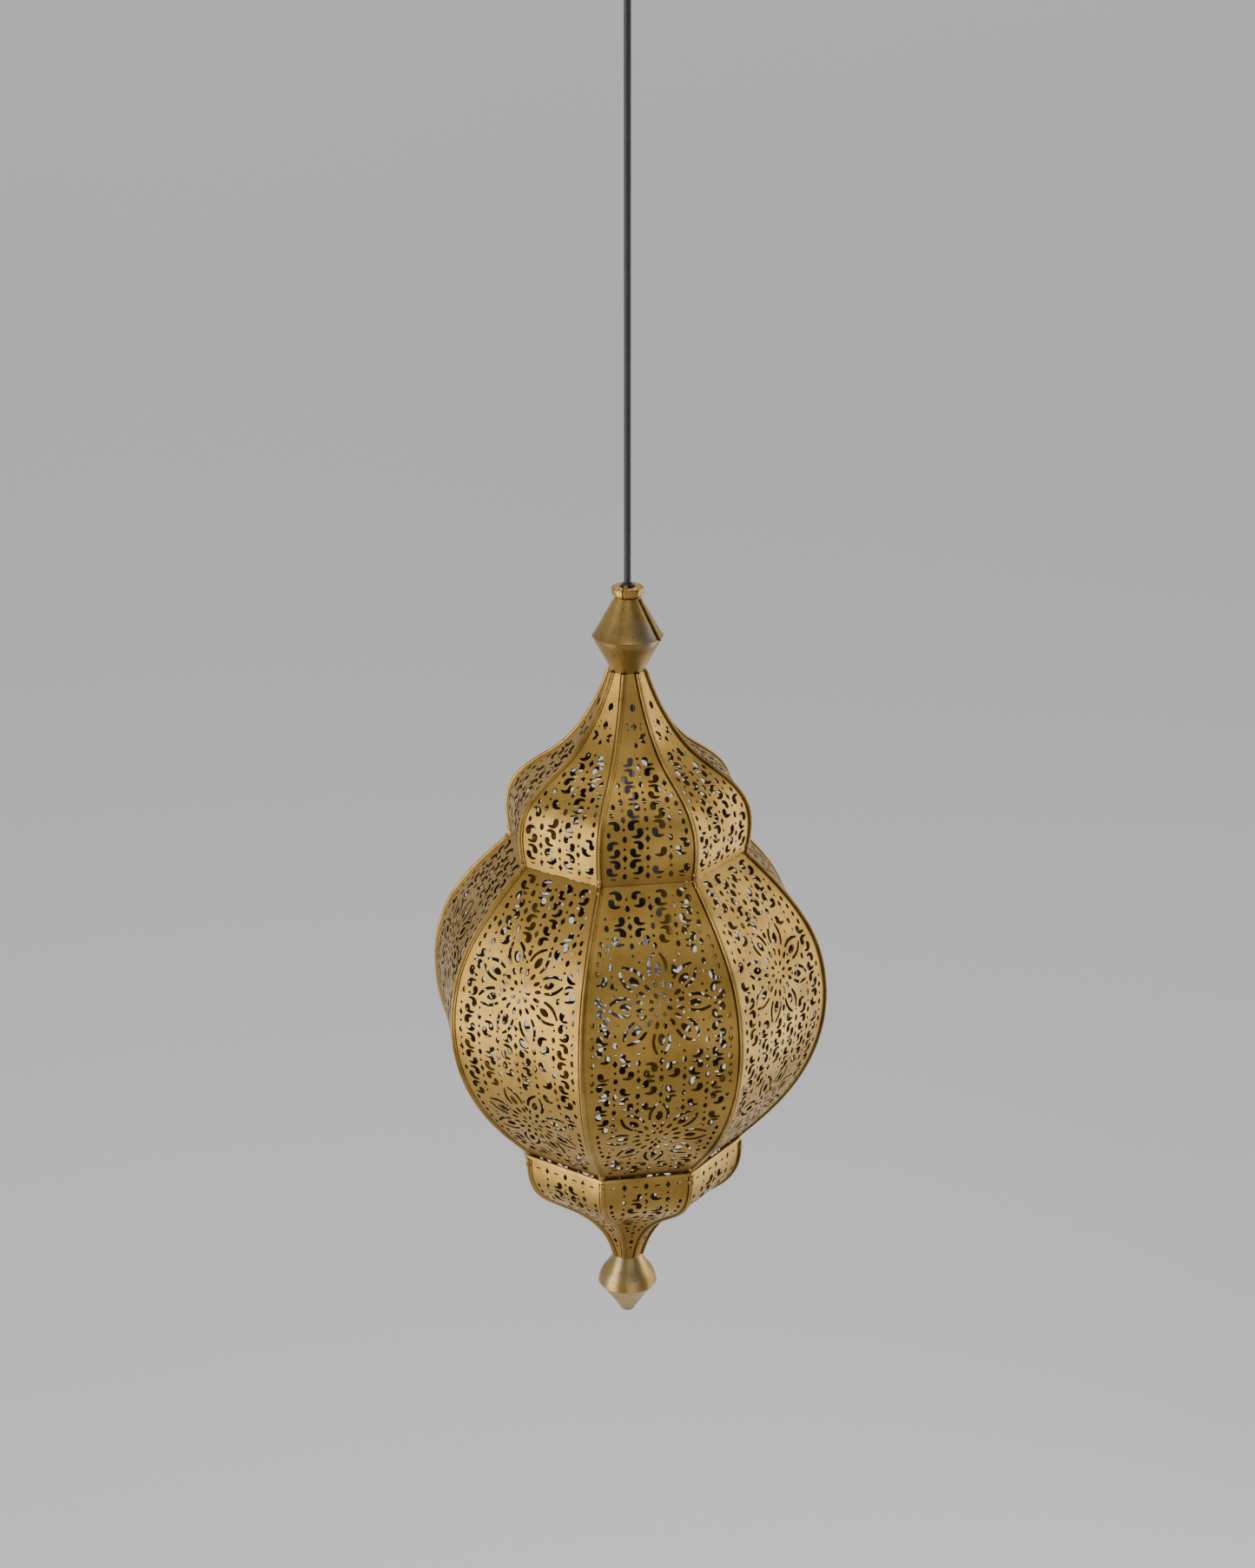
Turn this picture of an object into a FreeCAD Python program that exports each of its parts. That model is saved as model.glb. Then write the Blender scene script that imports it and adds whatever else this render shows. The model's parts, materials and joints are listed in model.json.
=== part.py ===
import FreeCAD, Part
import math
import os

# Pierced octagonal hanging lantern: an onion crown, a round body and a small bowl base,
# each of eight curved sheets between ribs, hung on a mains cord from a ceiling canopy.
# Millimetres. The origin is the centre of the ceiling face, +Z is up, and the front panel
# faces -Y. The bulb door is the body panel at the back, facing +Y.

V = FreeCAD.Vector
UP = V(0, 0, 1)

# ---- driving dimensions ----------------------------------------------------------------

SIDES = 8
SECTOR = 360.0 / SIDES
HALF_SECTOR = math.radians(SECTOR / 2)

SHEET = 0.8
RIB_WIDTH = 4.4
RIB_PROUD = 1.4
RIB_SUNK = 1.2
LIP_REACH = 6.0
LIP_GAP = 0.35
LIP_SHEET = 0.6
LIP_RIB_SUNK = 2.8
SEAM_GAP = 0.05
TIER_GAP = 0.5    # between a tier's sheets and where the tier begins or ends
REACH_MARGIN = 10.0

CORD_RADIUS = 2.35
FREE_CORD = 380.0
GRIP_PIVOT_Z = -38.0
CORD_PIVOT_Z = -54.0
TOP = CORD_PIVOT_Z - FREE_CORD

# Corner outlines of the three tiers: (radius at the corner, height from the collar top).
# They run a little past each tier's ends, where flat cuts close it.
CROWN = [(11.8, -55.5), (16.5, -68.5), (28, -91), (46, -113), (68, -129), (81.5, -145),
         (84.3, -163), (81.5, -183)]
BODY = [(80.3, -180.3), (111.4, -211.5), (129.7, -239), (138, -270), (138.3, -294),
        (131.5, -325), (112.5, -361), (77.4, -400.5)]
BASE = [(81.5, -400), (81, -414), (75.5, -429), (56, -446), (32, -465), (15.5, -488),
        (10.0, -504.5)]

# Where the tiers begin and end, as heights from the collar top.
CROWN_ENDS = (-57.0, -181.3)
BODY_ENDS = (-181.3, -399.2)
BASE_ENDS = (-401.5, -503.0)

# Height of the body's widest point, where the door's hinges and latch sit.
EQUATOR_Z = TOP - 282

TUBE_RADIUS = 5.0
TUBE_BORE = 3.8
RUNNING = 0.05
CLOSE = 0.1

DOOR_GAP = 1.0
HINGE_AXIS_RADIUS = 143.4
KNUCKLE_RADIUS = 2.0
KNUCKLE_LENGTH = 4.8
KNUCKLE_SPACE = 0.2
PIN_RADIUS = 1.0
HINGE_OFFSET_Z = 23.0

CANOPY_RADIUS = 50.0
CANOPY_HEIGHT = 28.0
CANOPY_WALL = 1.2

HOLDER_TOP = TOP - 164
HOLDER_JOINT = TOP - 190
HOLDER_END = TOP - 244
BULB_TOP = TOP - 217
BULB_END = TOP - 322


# ---- helpers ---------------------------------------------------------------------------

def revolved(outline):
    """A solid turned about Z from a closed outline of (radius, height) points."""
    points = [V(r, 0, z) for r, z in outline]
    wire = Part.makePolygon(points + points[:1])
    return Part.Face(wire).revolve(V(0, 0, 0), UP, 360)


def revolved_edges(edges):
    """A solid turned about Z from edges that close in the XZ plane."""
    wire = Part.Wire(Part.__sortEdges__(edges))
    return Part.Face(wire).revolve(V(0, 0, 0), UP, 360)


def line(a, b):
    return Part.LineSegment(V(a[0], 0, a[1]), V(b[0], 0, b[1])).toShape()


def arc(a, middle, b):
    return Part.Arc(V(a[0], 0, a[1]), V(middle[0], 0, middle[1]), V(b[0], 0, b[1])).toShape()


def smooth(points):
    """Smooth edge through (radius, height) points in the XZ plane."""
    curve = Part.BSplineCurve()
    curve.interpolate([V(r, 0, z) for r, z in points])
    return curve.toShape()


def cylinder(radius, low, high, x=0.0, y=0.0):
    return Part.makeCylinder(radius, high - low, V(x, y, low), UP)


def box(x, y, z):
    """A box from three (low, high) pairs."""
    return Part.makeBox(x[1] - x[0], y[1] - y[0], z[1] - z[0], V(x[0], y[0], z[0]))


def prism(points, low, high):
    """A vertical prism on a closed outline of (x, y) points."""
    corners = [V(x, y, low) for x, y in points]
    return Part.Face(Part.makePolygon(corners + corners[:1])).extrude(V(0, 0, high - low))


def turned(shape, degrees):
    """A copy turned about the lantern's axis."""
    copy = shape.copy()
    copy.rotate(V(0, 0, 0), UP, degrees)
    return copy


def at_top(outline):
    """Heights from the collar top made into heights from the ceiling."""
    return [(r, TOP + z) for r, z in outline]


def offset_outline(outline, scale, distance):
    """A smooth outline through scaled points, moved out by a distance along its normal."""
    curve = Part.BSplineCurve()
    curve.interpolate([V(0, r * scale, z) for r, z in outline])
    moved = []
    samples = 2 * len(outline)
    for i in range(samples + 1):
        u = curve.FirstParameter + (curve.LastParameter - curve.FirstParameter) * i / samples
        tangent = curve.tangent(u)[0]
        normal = V(0, -tangent.z, tangent.y)
        moved.append(curve.value(u) + normal * distance)
    result = Part.BSplineCurve()
    result.interpolate(moved)
    return result


def band(outline, scale, out, inward):
    """Flat face in the YZ plane between two offsets of an outline."""
    outer = offset_outline(outline, scale, out)
    inner = offset_outline(outline, scale, -inward)
    outer_ends = [outer.value(outer.FirstParameter), outer.value(outer.LastParameter)]
    inner_ends = [inner.value(inner.FirstParameter), inner.value(inner.LastParameter)]
    edges = [
        outer.toShape(),
        Part.LineSegment(outer_ends[1], inner_ends[1]).toShape(),
        inner.toShape(),
        Part.LineSegment(inner_ends[0], outer_ends[0]).toShape(),
    ]
    return Part.Face(Part.Wire(Part.__sortEdges__(edges)))


def wedge(clearance, reach, low, high):
    """One sector about +Y, its two sides set back from the corner planes."""
    apex = clearance / math.sin(HALF_SECTOR)
    side = (reach - apex) * math.tan(HALF_SECTOR)
    return prism([(0, apex), (side, reach), (-side, reach)], low, high)


def reach_past(outline):
    """A distance from the axis that is clear of everything on an outline."""
    return max(r for r, _ in outline) + REACH_MARGIN


def curved_slab(outline, outer, inner):
    """A slab across +Y, bent to an outline, between two depths behind its outer face."""
    reach = reach_past(outline)
    face = band(outline, math.cos(HALF_SECTOR), -outer, inner)
    slab = face.extrude(V(2 * reach, 0, 0))
    slab.translate(V(-reach, 0, 0))
    return slab


def sheet_panel(outline, ends, clearance):
    """One curved sheet of a tier, facing +Y, flat across and curved from top to bottom."""
    high = TOP + ends[0] - TIER_GAP
    low = TOP + ends[1] + TIER_GAP
    slab = curved_slab(outline, 0, SHEET)
    return slab.common(wedge(clearance, reach_past(outline), low, high))


def closing_lips(outline, ends):
    """Two folded strips behind the edges of a +Y sheet, which the door closes on."""
    outer = SHEET + LIP_GAP
    reach = reach_past(outline)
    low = TOP + ends[1]
    high = TOP + ends[0]
    strips = curved_slab(outline, outer, outer + LIP_SHEET).common(wedge(0.0, reach, low, high))
    return strips.cut(wedge(LIP_REACH, reach, low - 1, high + 1)).Solids


def rib_bar(outline, ends, sunk):
    """One rib on a corner of a tier, first in the +Y plane, then turned to the corner."""
    bar = band(outline, 1.0, RIB_PROUD, sunk).extrude(V(RIB_WIDTH, 0, 0))
    bar.translate(V(-RIB_WIDTH / 2, 0, 0))
    reach = reach_past(outline)
    bar = bar.common(box((-reach, reach), (-reach, reach), (TOP + ends[1], TOP + ends[0])))
    return turned(bar, SECTOR / 2)


def lipped_rib(outline, ends):
    """A rib of the body: the bar on the corner with a lip behind each neighbouring sheet."""
    bar = rib_bar(outline, ends, LIP_RIB_SUNK)
    lips = sorted(closing_lips(outline, ends), key=lambda lip: lip.CenterOfMass.x)
    return bar.fuse([lips[0], turned(lips[-1], SECTOR)]).removeSplitter()


def filled_sector(outline):
    """Everything inside the body's sheet about +Y, to fit outside pieces against it."""
    curve = offset_outline(outline, math.cos(HALF_SECTOR), SEAM_GAP)
    top = curve.value(curve.FirstParameter)
    end = curve.value(curve.LastParameter)
    edges = [
        curve.toShape(),
        Part.LineSegment(end, V(0, 0, end.z)).toShape(),
        Part.LineSegment(V(0, 0, end.z), V(0, 0, top.z)).toShape(),
        Part.LineSegment(V(0, 0, top.z), top).toShape(),
    ]
    face = Part.Face(Part.Wire(Part.__sortEdges__(edges)))
    reach = reach_past(outline)
    solid = face.extrude(V(2 * reach, 0, 0))
    solid.translate(V(-reach, 0, 0))
    return solid


def group(solids):
    return Part.makeCompound(solids)


# ---- ceiling fitting -------------------------------------------------------------------

BRACKET_HALF = 46.8
BRACKET_WIDTH = 20.0
BRACKET_SHEET = 1.5
BRACKET_EAR = 14.0
SCREW_SPACING = 60.0
SCREW_HOLE_RADIUS = 2.25
SIDE_SCREW_Z = -9.0
SIDE_SCREW_RADIUS = 2.0
SIDE_SCREW_LENGTH = 8.0
SIDE_SCREW_HEAD_RADIUS = 3.6
SIDE_SCREW_HEAD = 2.2
CUP_CORNER = 8.0


def ceiling_bracket():
    """Steel strap with two ceiling screw holes and two turned-down ears."""
    half = BRACKET_WIDTH / 2
    strap = box((-BRACKET_HALF, BRACKET_HALF), (-half, half), (-BRACKET_SHEET, 0))
    for side in (-1, 1):
        inner = BRACKET_HALF - BRACKET_SHEET
        ear = box(sorted((side * inner, side * BRACKET_HALF)), (-half, half), (-BRACKET_EAR, 0))
        hole = side_hole(side, SIDE_SCREW_RADIUS + RUNNING)
        strap = strap.fuse(ear).cut(hole)
        strap = strap.cut(cylinder(SCREW_HOLE_RADIUS, -BRACKET_EAR, 1, side * SCREW_SPACING / 2))
    return strap.removeSplitter()


def side_hole(side, radius):
    """Drill for a side screw, through the ear and the cup."""
    start = V(side * BRACKET_HALF / 2, 0, SIDE_SCREW_Z)
    return Part.makeCylinder(radius, BRACKET_HALF, start, V(side, 0, 0))


def canopy_cup():
    """Shallow cup that hides the bracket, with a hole for the cord grip and two at its sides."""
    corner = CUP_CORNER
    lean = corner * (1 - math.sqrt(0.5))
    outer = CANOPY_RADIUS
    inner = CANOPY_RADIUS - CANOPY_WALL
    floor = -CANOPY_HEIGHT + CANOPY_WALL
    small = corner - CANOPY_WALL
    small_lean = small * (1 - math.sqrt(0.5))
    edges = [
        line((outer, 0), (outer, -CANOPY_HEIGHT + corner)),
        arc((outer, -CANOPY_HEIGHT + corner), (outer - lean, -CANOPY_HEIGHT + lean),
            (outer - corner, -CANOPY_HEIGHT)),
        line((outer - corner, -CANOPY_HEIGHT), (TUBE_RADIUS + CLOSE, -CANOPY_HEIGHT)),
        line((TUBE_RADIUS + CLOSE, -CANOPY_HEIGHT), (TUBE_RADIUS + CLOSE, floor)),
        line((TUBE_RADIUS + CLOSE, floor), (inner - small, floor)),
        arc((inner - small, floor), (inner - small_lean, floor + small_lean),
            (inner, floor + small)),
        line((inner, floor + small), (inner, 0)),
        line((inner, 0), (outer, 0)),
    ]
    cup = revolved_edges(edges)
    for side in (-1, 1):
        cup = cup.cut(side_hole(side, SIDE_SCREW_RADIUS + RUNNING))
    return cup


def canopy_screws():
    """Two round-headed side screws that hold the cup to the bracket's ears."""
    screws = []
    for side in (-1, 1):
        head_at = side * (CANOPY_RADIUS + RUNNING)
        shank = Part.makeCylinder(SIDE_SCREW_RADIUS, SIDE_SCREW_LENGTH,
                                  V(head_at, 0, SIDE_SCREW_Z), V(-side, 0, 0))
        head = Part.makeCylinder(SIDE_SCREW_HEAD_RADIUS, SIDE_SCREW_HEAD,
                                 V(head_at, 0, SIDE_SCREW_Z), V(side, 0, 0))
        slot_end = head_at + side * SIDE_SCREW_HEAD
        slot = box(sorted((slot_end - side, slot_end + side)), (-0.5, 0.5),
                   (SIDE_SCREW_Z - SIDE_SCREW_HEAD_RADIUS, SIDE_SCREW_Z + SIDE_SCREW_HEAD_RADIUS))
        screws.append(shank.fuse(head).cut(slot))
    return group(screws)


BLOCK_X = (-38.0, -14.0)
BLOCK_HALF_Y = 8.0
BLOCK_Z = (-14.5, -1.55)
WIRE_Y = 4.0
WIRE_Z = -10.0
WIRE_BORE = 1.6
WELL_RADIUS = 1.7
WELLS_X = (-32.0, -20.0)


def terminal_block():
    """Two-way terminal block under the strap, with wire bores and screw wells."""
    block = box(BLOCK_X, (-BLOCK_HALF_Y, BLOCK_HALF_Y), BLOCK_Z)
    for y in (-WIRE_Y, WIRE_Y):
        bore = Part.makeCylinder(WIRE_BORE, BLOCK_X[1] - BLOCK_X[0], V(BLOCK_X[0], y, WIRE_Z),
                                 V(1, 0, 0))
        block = block.cut(bore)
        for x in WELLS_X:
            block = block.cut(cylinder(WELL_RADIUS, BLOCK_Z[0] - 1, WIRE_Z, x, y))
    return block


GRIP_BALL = 4.5
GRIP_SEAT = GRIP_BALL + 0.15
GRIP_BORE = 2.6


def cord_grip():
    """Screwed cord grip below the cup, with a round seat for the strain relief."""
    bottom = GRIP_PIVOT_Z
    face = -CANOPY_HEIGHT
    top = face + 8
    outline = [
        (GRIP_BORE, top), (TUBE_RADIUS, top), (TUBE_RADIUS, face), (10, face), (10, face - 2),
        (7.6, face - 4), (6.6, bottom), (GRIP_BORE, bottom),
    ]
    seat = Part.makeSphere(GRIP_SEAT, V(0, 0, GRIP_PIVOT_Z))
    return revolved(outline).cut(seat)


def cord_tail():
    """The cord inside the cup: up out of the grip, round a bend and into the block."""
    bend = 12.0
    bend_start = -22.0
    end_x = BLOCK_X[1]
    centre = V(-bend, 0, bend_start)
    middle = centre + V(bend * math.sqrt(0.5), 0, bend * math.sqrt(0.5))
    top = V(-bend, 0, bend_start + bend)
    start = V(0, 0, GRIP_PIVOT_Z + GRIP_SEAT)
    path = Part.Wire([
        Part.LineSegment(start, V(0, 0, bend_start)).toShape(),
        Part.Arc(V(0, 0, bend_start), middle, top).toShape(),
        Part.LineSegment(top, V(end_x, 0, top.z)).toShape(),
    ])
    profile = Part.Wire(Part.makeCircle(CORD_RADIUS, start, UP))
    tube = path.makePipeShell([profile], True, False)
    print("cord tail bend radius", bend, "volume", tube.Volume,
          "section times length", math.pi * CORD_RADIUS ** 2 * path.Length)
    return tube


CORD_SEAT = CORD_RADIUS + 0.15
SOCKET_LIFT = 1.2


def strain_relief():
    """Flexible neck on the cord: a ball in the grip's seat and a tapered sleeve below it."""
    end = CORD_PIVOT_Z + SOCKET_LIFT
    ball = Part.makeSphere(GRIP_BALL, V(0, 0, GRIP_PIVOT_Z))
    neck = revolved([(0, GRIP_PIVOT_Z), (3.6, GRIP_PIVOT_Z), (3.6, GRIP_PIVOT_Z - 5),
                     (3.1, end), (0, end)])
    socket = Part.makeSphere(CORD_SEAT, V(0, 0, CORD_PIVOT_Z))
    return ball.fuse(neck).cut(socket).removeSplitter()


# ---- cord ------------------------------------------------------------------------------

CORD_END = TOP - 3.0


def pendant_cord():
    """The taut free cord: one straight run with a round upper end in the strain relief."""
    r = CORD_RADIUS
    z = CORD_PIVOT_Z
    tip = (r * math.sqrt(0.5), z + r * math.sqrt(0.5))
    cord = revolved_edges([
        arc((0, z + r), tip, (r, z)),
        line((r, z), (r, CORD_END)),
        line((r, CORD_END), (0, CORD_END)),
        line((0, CORD_END), (0, z + r)),
    ])
    print("pendant cord run", z - CORD_END, "straight, no bends")
    return cord


# ---- head of the lantern ---------------------------------------------------------------

COLLAR_RADIUS = 10.8
COLLAR_HEIGHT = 7.2
COLLAR_RIM = 4.2    # straight part of the collar, above its taper
CONE_WALL = SHEET * 1.2    # the cones' sheet measured level, across their slope
CONE_TOP_RADIUS = 8.6
CONE_WAIST = 23.8
CROWN_TOP = TOP - 57
WAIST_Z = TOP - 34
TUBE_END = HOLDER_TOP - 3.0
SPLIT_HALF = 0.5
SPLIT_ANGLE = -28.0
SEAM_ANGLE = -40.0
SEAM_HEIGHT = 2.0
SEAM_THICKNESS = 1.2


def cord_grommet():
    """Black bush in the top of the tube that the cord enters through."""
    bore = CORD_RADIUS + CLOSE
    outer = TUBE_BORE - CLOSE
    return revolved([(bore, TOP + 2.2), (outer - 0.3, TOP + 2.2), (outer, TOP + 1.4),
                     (outer, TOP - 8), (bore, TOP - 8)])


def top_collar():
    """Thick cast collar on the tube, split at the front left, with a bent-up tab beside it."""
    ring = revolved([
        (TUBE_RADIUS + RUNNING, TOP), (COLLAR_RADIUS - 0.8, TOP), (COLLAR_RADIUS, TOP - 0.9),
        (COLLAR_RADIUS, TOP - COLLAR_RIM), (CONE_TOP_RADIUS, TOP - COLLAR_HEIGHT),
        (TUBE_RADIUS + RUNNING, TOP - COLLAR_HEIGHT),
    ])
    split = box((-SPLIT_HALF, SPLIT_HALF), (-COLLAR_RADIUS - 1, 0), (TOP - COLLAR_HEIGHT - 1, TOP + 1))
    tab = box((SPLIT_HALF, SPLIT_HALF + 2.2), (-9.6, -7.0), (TOP - 4, TOP + 3))
    return turned(ring.cut(split).fuse(tab), SPLIT_ANGLE).removeSplitter()


def hanger_tube():
    """Threaded tube that carries the whole lantern and leads the cord to the lamp holder."""
    return revolved([(TUBE_BORE, TOP - 1.5), (TUBE_RADIUS, TOP - 1.5), (TUBE_RADIUS, TUBE_END),
                     (TUBE_BORE, TUBE_END)])


NUT_CORNER = 8.0
NUT_HEIGHT = 4.0


def hex_nut(top):
    """Six-sided lock nut on the tube, below a height."""
    angles = [math.radians(60 * i) for i in range(6)]
    corners = [(NUT_CORNER * math.cos(angle), NUT_CORNER * math.sin(angle)) for angle in angles]
    blank = prism(corners, top - NUT_HEIGHT, top)
    return blank.cut(cylinder(TUBE_RADIUS + RUNNING, top - NUT_HEIGHT - 1, top + 1))


PLATE_Z = TOP - 70
PLATE_RADIUS = 14.4
PLATE_THICKNESS = 1.5


def neck_plate():
    """Round plate inside the neck of the crown, clamped on the tube."""
    return revolved([(TUBE_RADIUS + RUNNING, PLATE_Z), (PLATE_RADIUS, PLATE_Z),
                     (PLATE_RADIUS, PLATE_Z - PLATE_THICKNESS),
                     (TUBE_RADIUS + RUNNING, PLATE_Z - PLATE_THICKNESS)])


def tube_nuts():
    """Lock nuts under the neck plate and on top of the lamp holder."""
    return group([hex_nut(PLATE_Z - PLATE_THICKNESS), hex_nut(HOLDER_TOP + NUT_HEIGHT)])


def top_finial_upper():
    """Upper cone of the top finial, with a flat top under the collar."""
    top = TOP - COLLAR_HEIGHT
    return revolved([
        (TUBE_RADIUS + RUNNING, top), (CONE_TOP_RADIUS, top), (CONE_WAIST, WAIST_Z),
        (CONE_WAIST - CONE_WALL, WAIST_Z), (CONE_TOP_RADIUS - CONE_WALL, top - SHEET),
        (TUBE_RADIUS + RUNNING, top - SHEET),
    ])


def seam_strip():
    """Folded lap seam that stands up along the right front of the upper cone."""
    cone_top = TOP - COLLAR_HEIGHT
    top = cone_top - SHEET
    slope = (CONE_WAIST - CONE_TOP_RADIUS) / (cone_top - WAIST_Z)
    foot = CONE_TOP_RADIUS + slope * (cone_top - top)
    strip = [
        V(foot + RUNNING, 0, top), V(foot + SEAM_HEIGHT, 0, top),
        V(CONE_WAIST + SEAM_HEIGHT, 0, WAIST_Z), V(CONE_WAIST + RUNNING, 0, WAIST_Z),
    ]
    face = Part.Face(Part.makePolygon(strip + strip[:1]))
    return turned(face.extrude(V(0, SEAM_THICKNESS, 0)), SEAM_ANGLE)


def top_finial_lower():
    """Lower cone of the top finial, down to the neck of the crown."""
    waist = CONE_WAIST - 0.7
    neck = 11.5
    return revolved([(waist, WAIST_Z - CLOSE), (neck, CROWN_TOP), (neck - CONE_WALL, CROWN_TOP),
                     (waist - CONE_WALL, WAIST_Z - CLOSE)])


# ---- lamp holder and bulb --------------------------------------------------------------

HOLDER_RADIUS = 22.0
SHELL_RADIUS = 14.6
CAP_RADIUS = 13.2
CAP_LENGTH = 26.0
BULB_RADIUS = 30.0
HOLDER_FLOOR = TOP - 210
CONTACT_THICKNESS = 0.6


def lamp_holder_cap():
    """Domed upper half of the lamp holder, screwed on the tube."""
    wall = 2.0
    bore = TUBE_RADIUS + RUNNING
    shoulder = HOLDER_TOP - 14
    return revolved_edges([
        line((bore, HOLDER_TOP), (9, HOLDER_TOP)),
        arc((9, HOLDER_TOP), (18.3, HOLDER_TOP - 5.2), (HOLDER_RADIUS, shoulder)),
        line((HOLDER_RADIUS, shoulder), (HOLDER_RADIUS, HOLDER_JOINT)),
        line((HOLDER_RADIUS, HOLDER_JOINT), (HOLDER_RADIUS - wall, HOLDER_JOINT)),
        line((HOLDER_RADIUS - wall, HOLDER_JOINT), (HOLDER_RADIUS - wall, shoulder)),
        arc((HOLDER_RADIUS - wall, shoulder), (16.6, HOLDER_TOP - 6.8), (9, HOLDER_TOP - 4)),
        line((9, HOLDER_TOP - 4), (bore, HOLDER_TOP - 4)),
        line((bore, HOLDER_TOP - 4), (bore, HOLDER_TOP)),
    ])


def lamp_holder_body():
    """Lower half of the lamp holder: a skirt with a floor above the screw shell."""
    top = HOLDER_JOINT - CLOSE
    shelf = top - 12
    well = SHELL_RADIUS + 0.7
    wire_hole = 3
    return revolved([
        (wire_hole, shelf), (SHELL_RADIUS + 1.5, shelf), (SHELL_RADIUS + 1.5, top),
        (HOLDER_RADIUS, top), (HOLDER_RADIUS, shelf), (20, shelf - 2), (19.2, HOLDER_END),
        (well, HOLDER_END), (well, HOLDER_FLOOR), (wire_hole, HOLDER_FLOOR),
    ])


def lamp_holder_ring():
    """Threaded ring on the outside of the skirt."""
    top = HOLDER_END + 20
    foot = top - 10
    bore = 20.3
    rim = 23.5
    return revolved([(bore, top), (rim, top), (rim, top - 3), (rim - 1, foot), (bore, foot)])


def lamp_holder_shell():
    """Thin metal screw shell inside the skirt."""
    top = HOLDER_FLOOR - 5
    foot = HOLDER_END + 2
    outer = SHELL_RADIUS + 0.5
    return revolved([(SHELL_RADIUS, top), (outer, top), (outer, foot), (SHELL_RADIUS, foot)])


def lamp_holder_contact():
    """Centre contact tongue that touches the bulb's tip."""
    top = HOLDER_FLOOR - CLOSE
    half = 2.5
    tongue = box((-6, 6), (-half, half), (top - CONTACT_THICKNESS, top))
    return tongue.fuse(cylinder(half, BULB_TOP + CLOSE, top))


def inner_cord():
    """The cord's last stretch, inside the tube and into the lamp holder."""
    return cylinder(CORD_RADIUS, HOLDER_JOINT - 2, CORD_END - CLOSE)


def bulb_cap():
    """Screw cap of the bulb with its insulated tip."""
    top = BULB_TOP - 3
    foot = BULB_TOP - CAP_LENGTH
    return revolved([(0, BULB_TOP), (4, BULB_TOP), (CAP_RADIUS - 1.5, top), (CAP_RADIUS, top - 1.5),
                     (CAP_RADIUS, foot), (0, foot)])


def bulb_glass():
    """Hollow round glass of the bulb, from the cap to its lowest point."""
    top = BULB_TOP - CAP_LENGTH - CLOSE
    wall = 0.9
    centre = BULB_END + BULB_RADIUS
    neck = CAP_RADIUS - 0.6
    flare = neck + 1.2
    rise = 8.0
    shoulder = centre + rise
    inner = BULB_RADIUS - wall
    side = math.sqrt(BULB_RADIUS ** 2 - rise ** 2)
    inner_side = math.sqrt(inner ** 2 - rise ** 2)
    slant = BULB_RADIUS * math.sqrt(0.5)
    inner_slant = inner * math.sqrt(0.5)
    edges = [
        smooth([(neck, top), (flare, top - 12), (side, shoulder)]),
        arc((side, shoulder), (slant, centre - slant), (0, BULB_END)),
        line((0, BULB_END), (0, BULB_END + wall)),
        arc((0, BULB_END + wall), (inner_slant, centre - inner_slant), (inner_side, shoulder)),
        smooth([(neck - wall, top), (flare - wall, top - 12), (inner_side, shoulder)]),
        line((neck - wall, top), (neck, top)),
    ]
    return revolved_edges(edges)


# ---- foot of the lantern ---------------------------------------------------------------

BASE_NECK = TOP - 503
FOOT_WAIST_Z = TOP - 526
TIP_Z = TOP - 550
FOOT_WAIST = 21.3
HOOP_WIDTH = 3.0


def octagon(apothem):
    radius = apothem / math.cos(HALF_SECTOR)
    return [(radius * math.sin(math.radians(SECTOR * (i + 0.5))),
             radius * math.cos(math.radians(SECTOR * (i + 0.5)))) for i in range(SIDES)]


def base_hoop():
    """Eight-sided hoop on top of the base that the ribs of the body stand on."""
    apothem = BASE[0][0] * math.cos(HALF_SECTOR) + 0.5
    low = TOP + BASE_ENDS[0]
    high = TOP + BODY_ENDS[1]
    outer = prism(octagon(apothem), low, high)
    return outer.cut(prism(octagon(apothem - HOOP_WIDTH), low - 1, high + 1))


def bottom_finial_upper():
    """Flared upper cone of the bottom finial."""
    top = BASE_NECK - CLOSE
    points = [(9.8, top), (14.2, top - 8), (19.6, top - 16), (FOOT_WAIST, FOOT_WAIST_Z)]
    inner = [(r - SHEET, z) for r, z in points]
    return revolved_edges([
        smooth(points), line(points[-1], inner[-1]), smooth(inner), line(inner[0], points[0]),
    ])


def bottom_finial_lower():
    """Closed lower cone of the bottom finial with a blunt tip."""
    top = FOOT_WAIST_Z - CLOSE
    waist = FOOT_WAIST - 0.8
    tip = 5.6
    return revolved([(waist, top), (tip, TIP_Z + 1.8), (tip - 1.8, TIP_Z), (0, TIP_Z),
                     (0, TIP_Z + 1.5), (tip - 1, TIP_Z + 3), (waist - 1.1, top)])


# ---- bulb door: hinges and latch -------------------------------------------------------

HINGE_CORNER = -SECTOR / 2
LATCH_CORNER = SECTOR / 2
LEAF_LENGTH = 12.0
LEAF_THICKNESS = 1.0
LEAF_DEPTH = 3.0    # how far the plates start inside the sheet's face, before they are fitted to it
DOOR_LEAF_NEAR = 4.2
FIXED_LEAF_NEAR = 2.8
PIN_HEAD_RADIUS = 1.7


def knuckle(low, high):
    """One knuckle, bored for the pin."""
    tube = cylinder(KNUCKLE_RADIUS, low, high, 0, HINGE_AXIS_RADIUS)
    return tube.cut(cylinder(PIN_RADIUS + RUNNING, low - 1, high + 1, 0, HINGE_AXIS_RADIUS))


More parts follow.
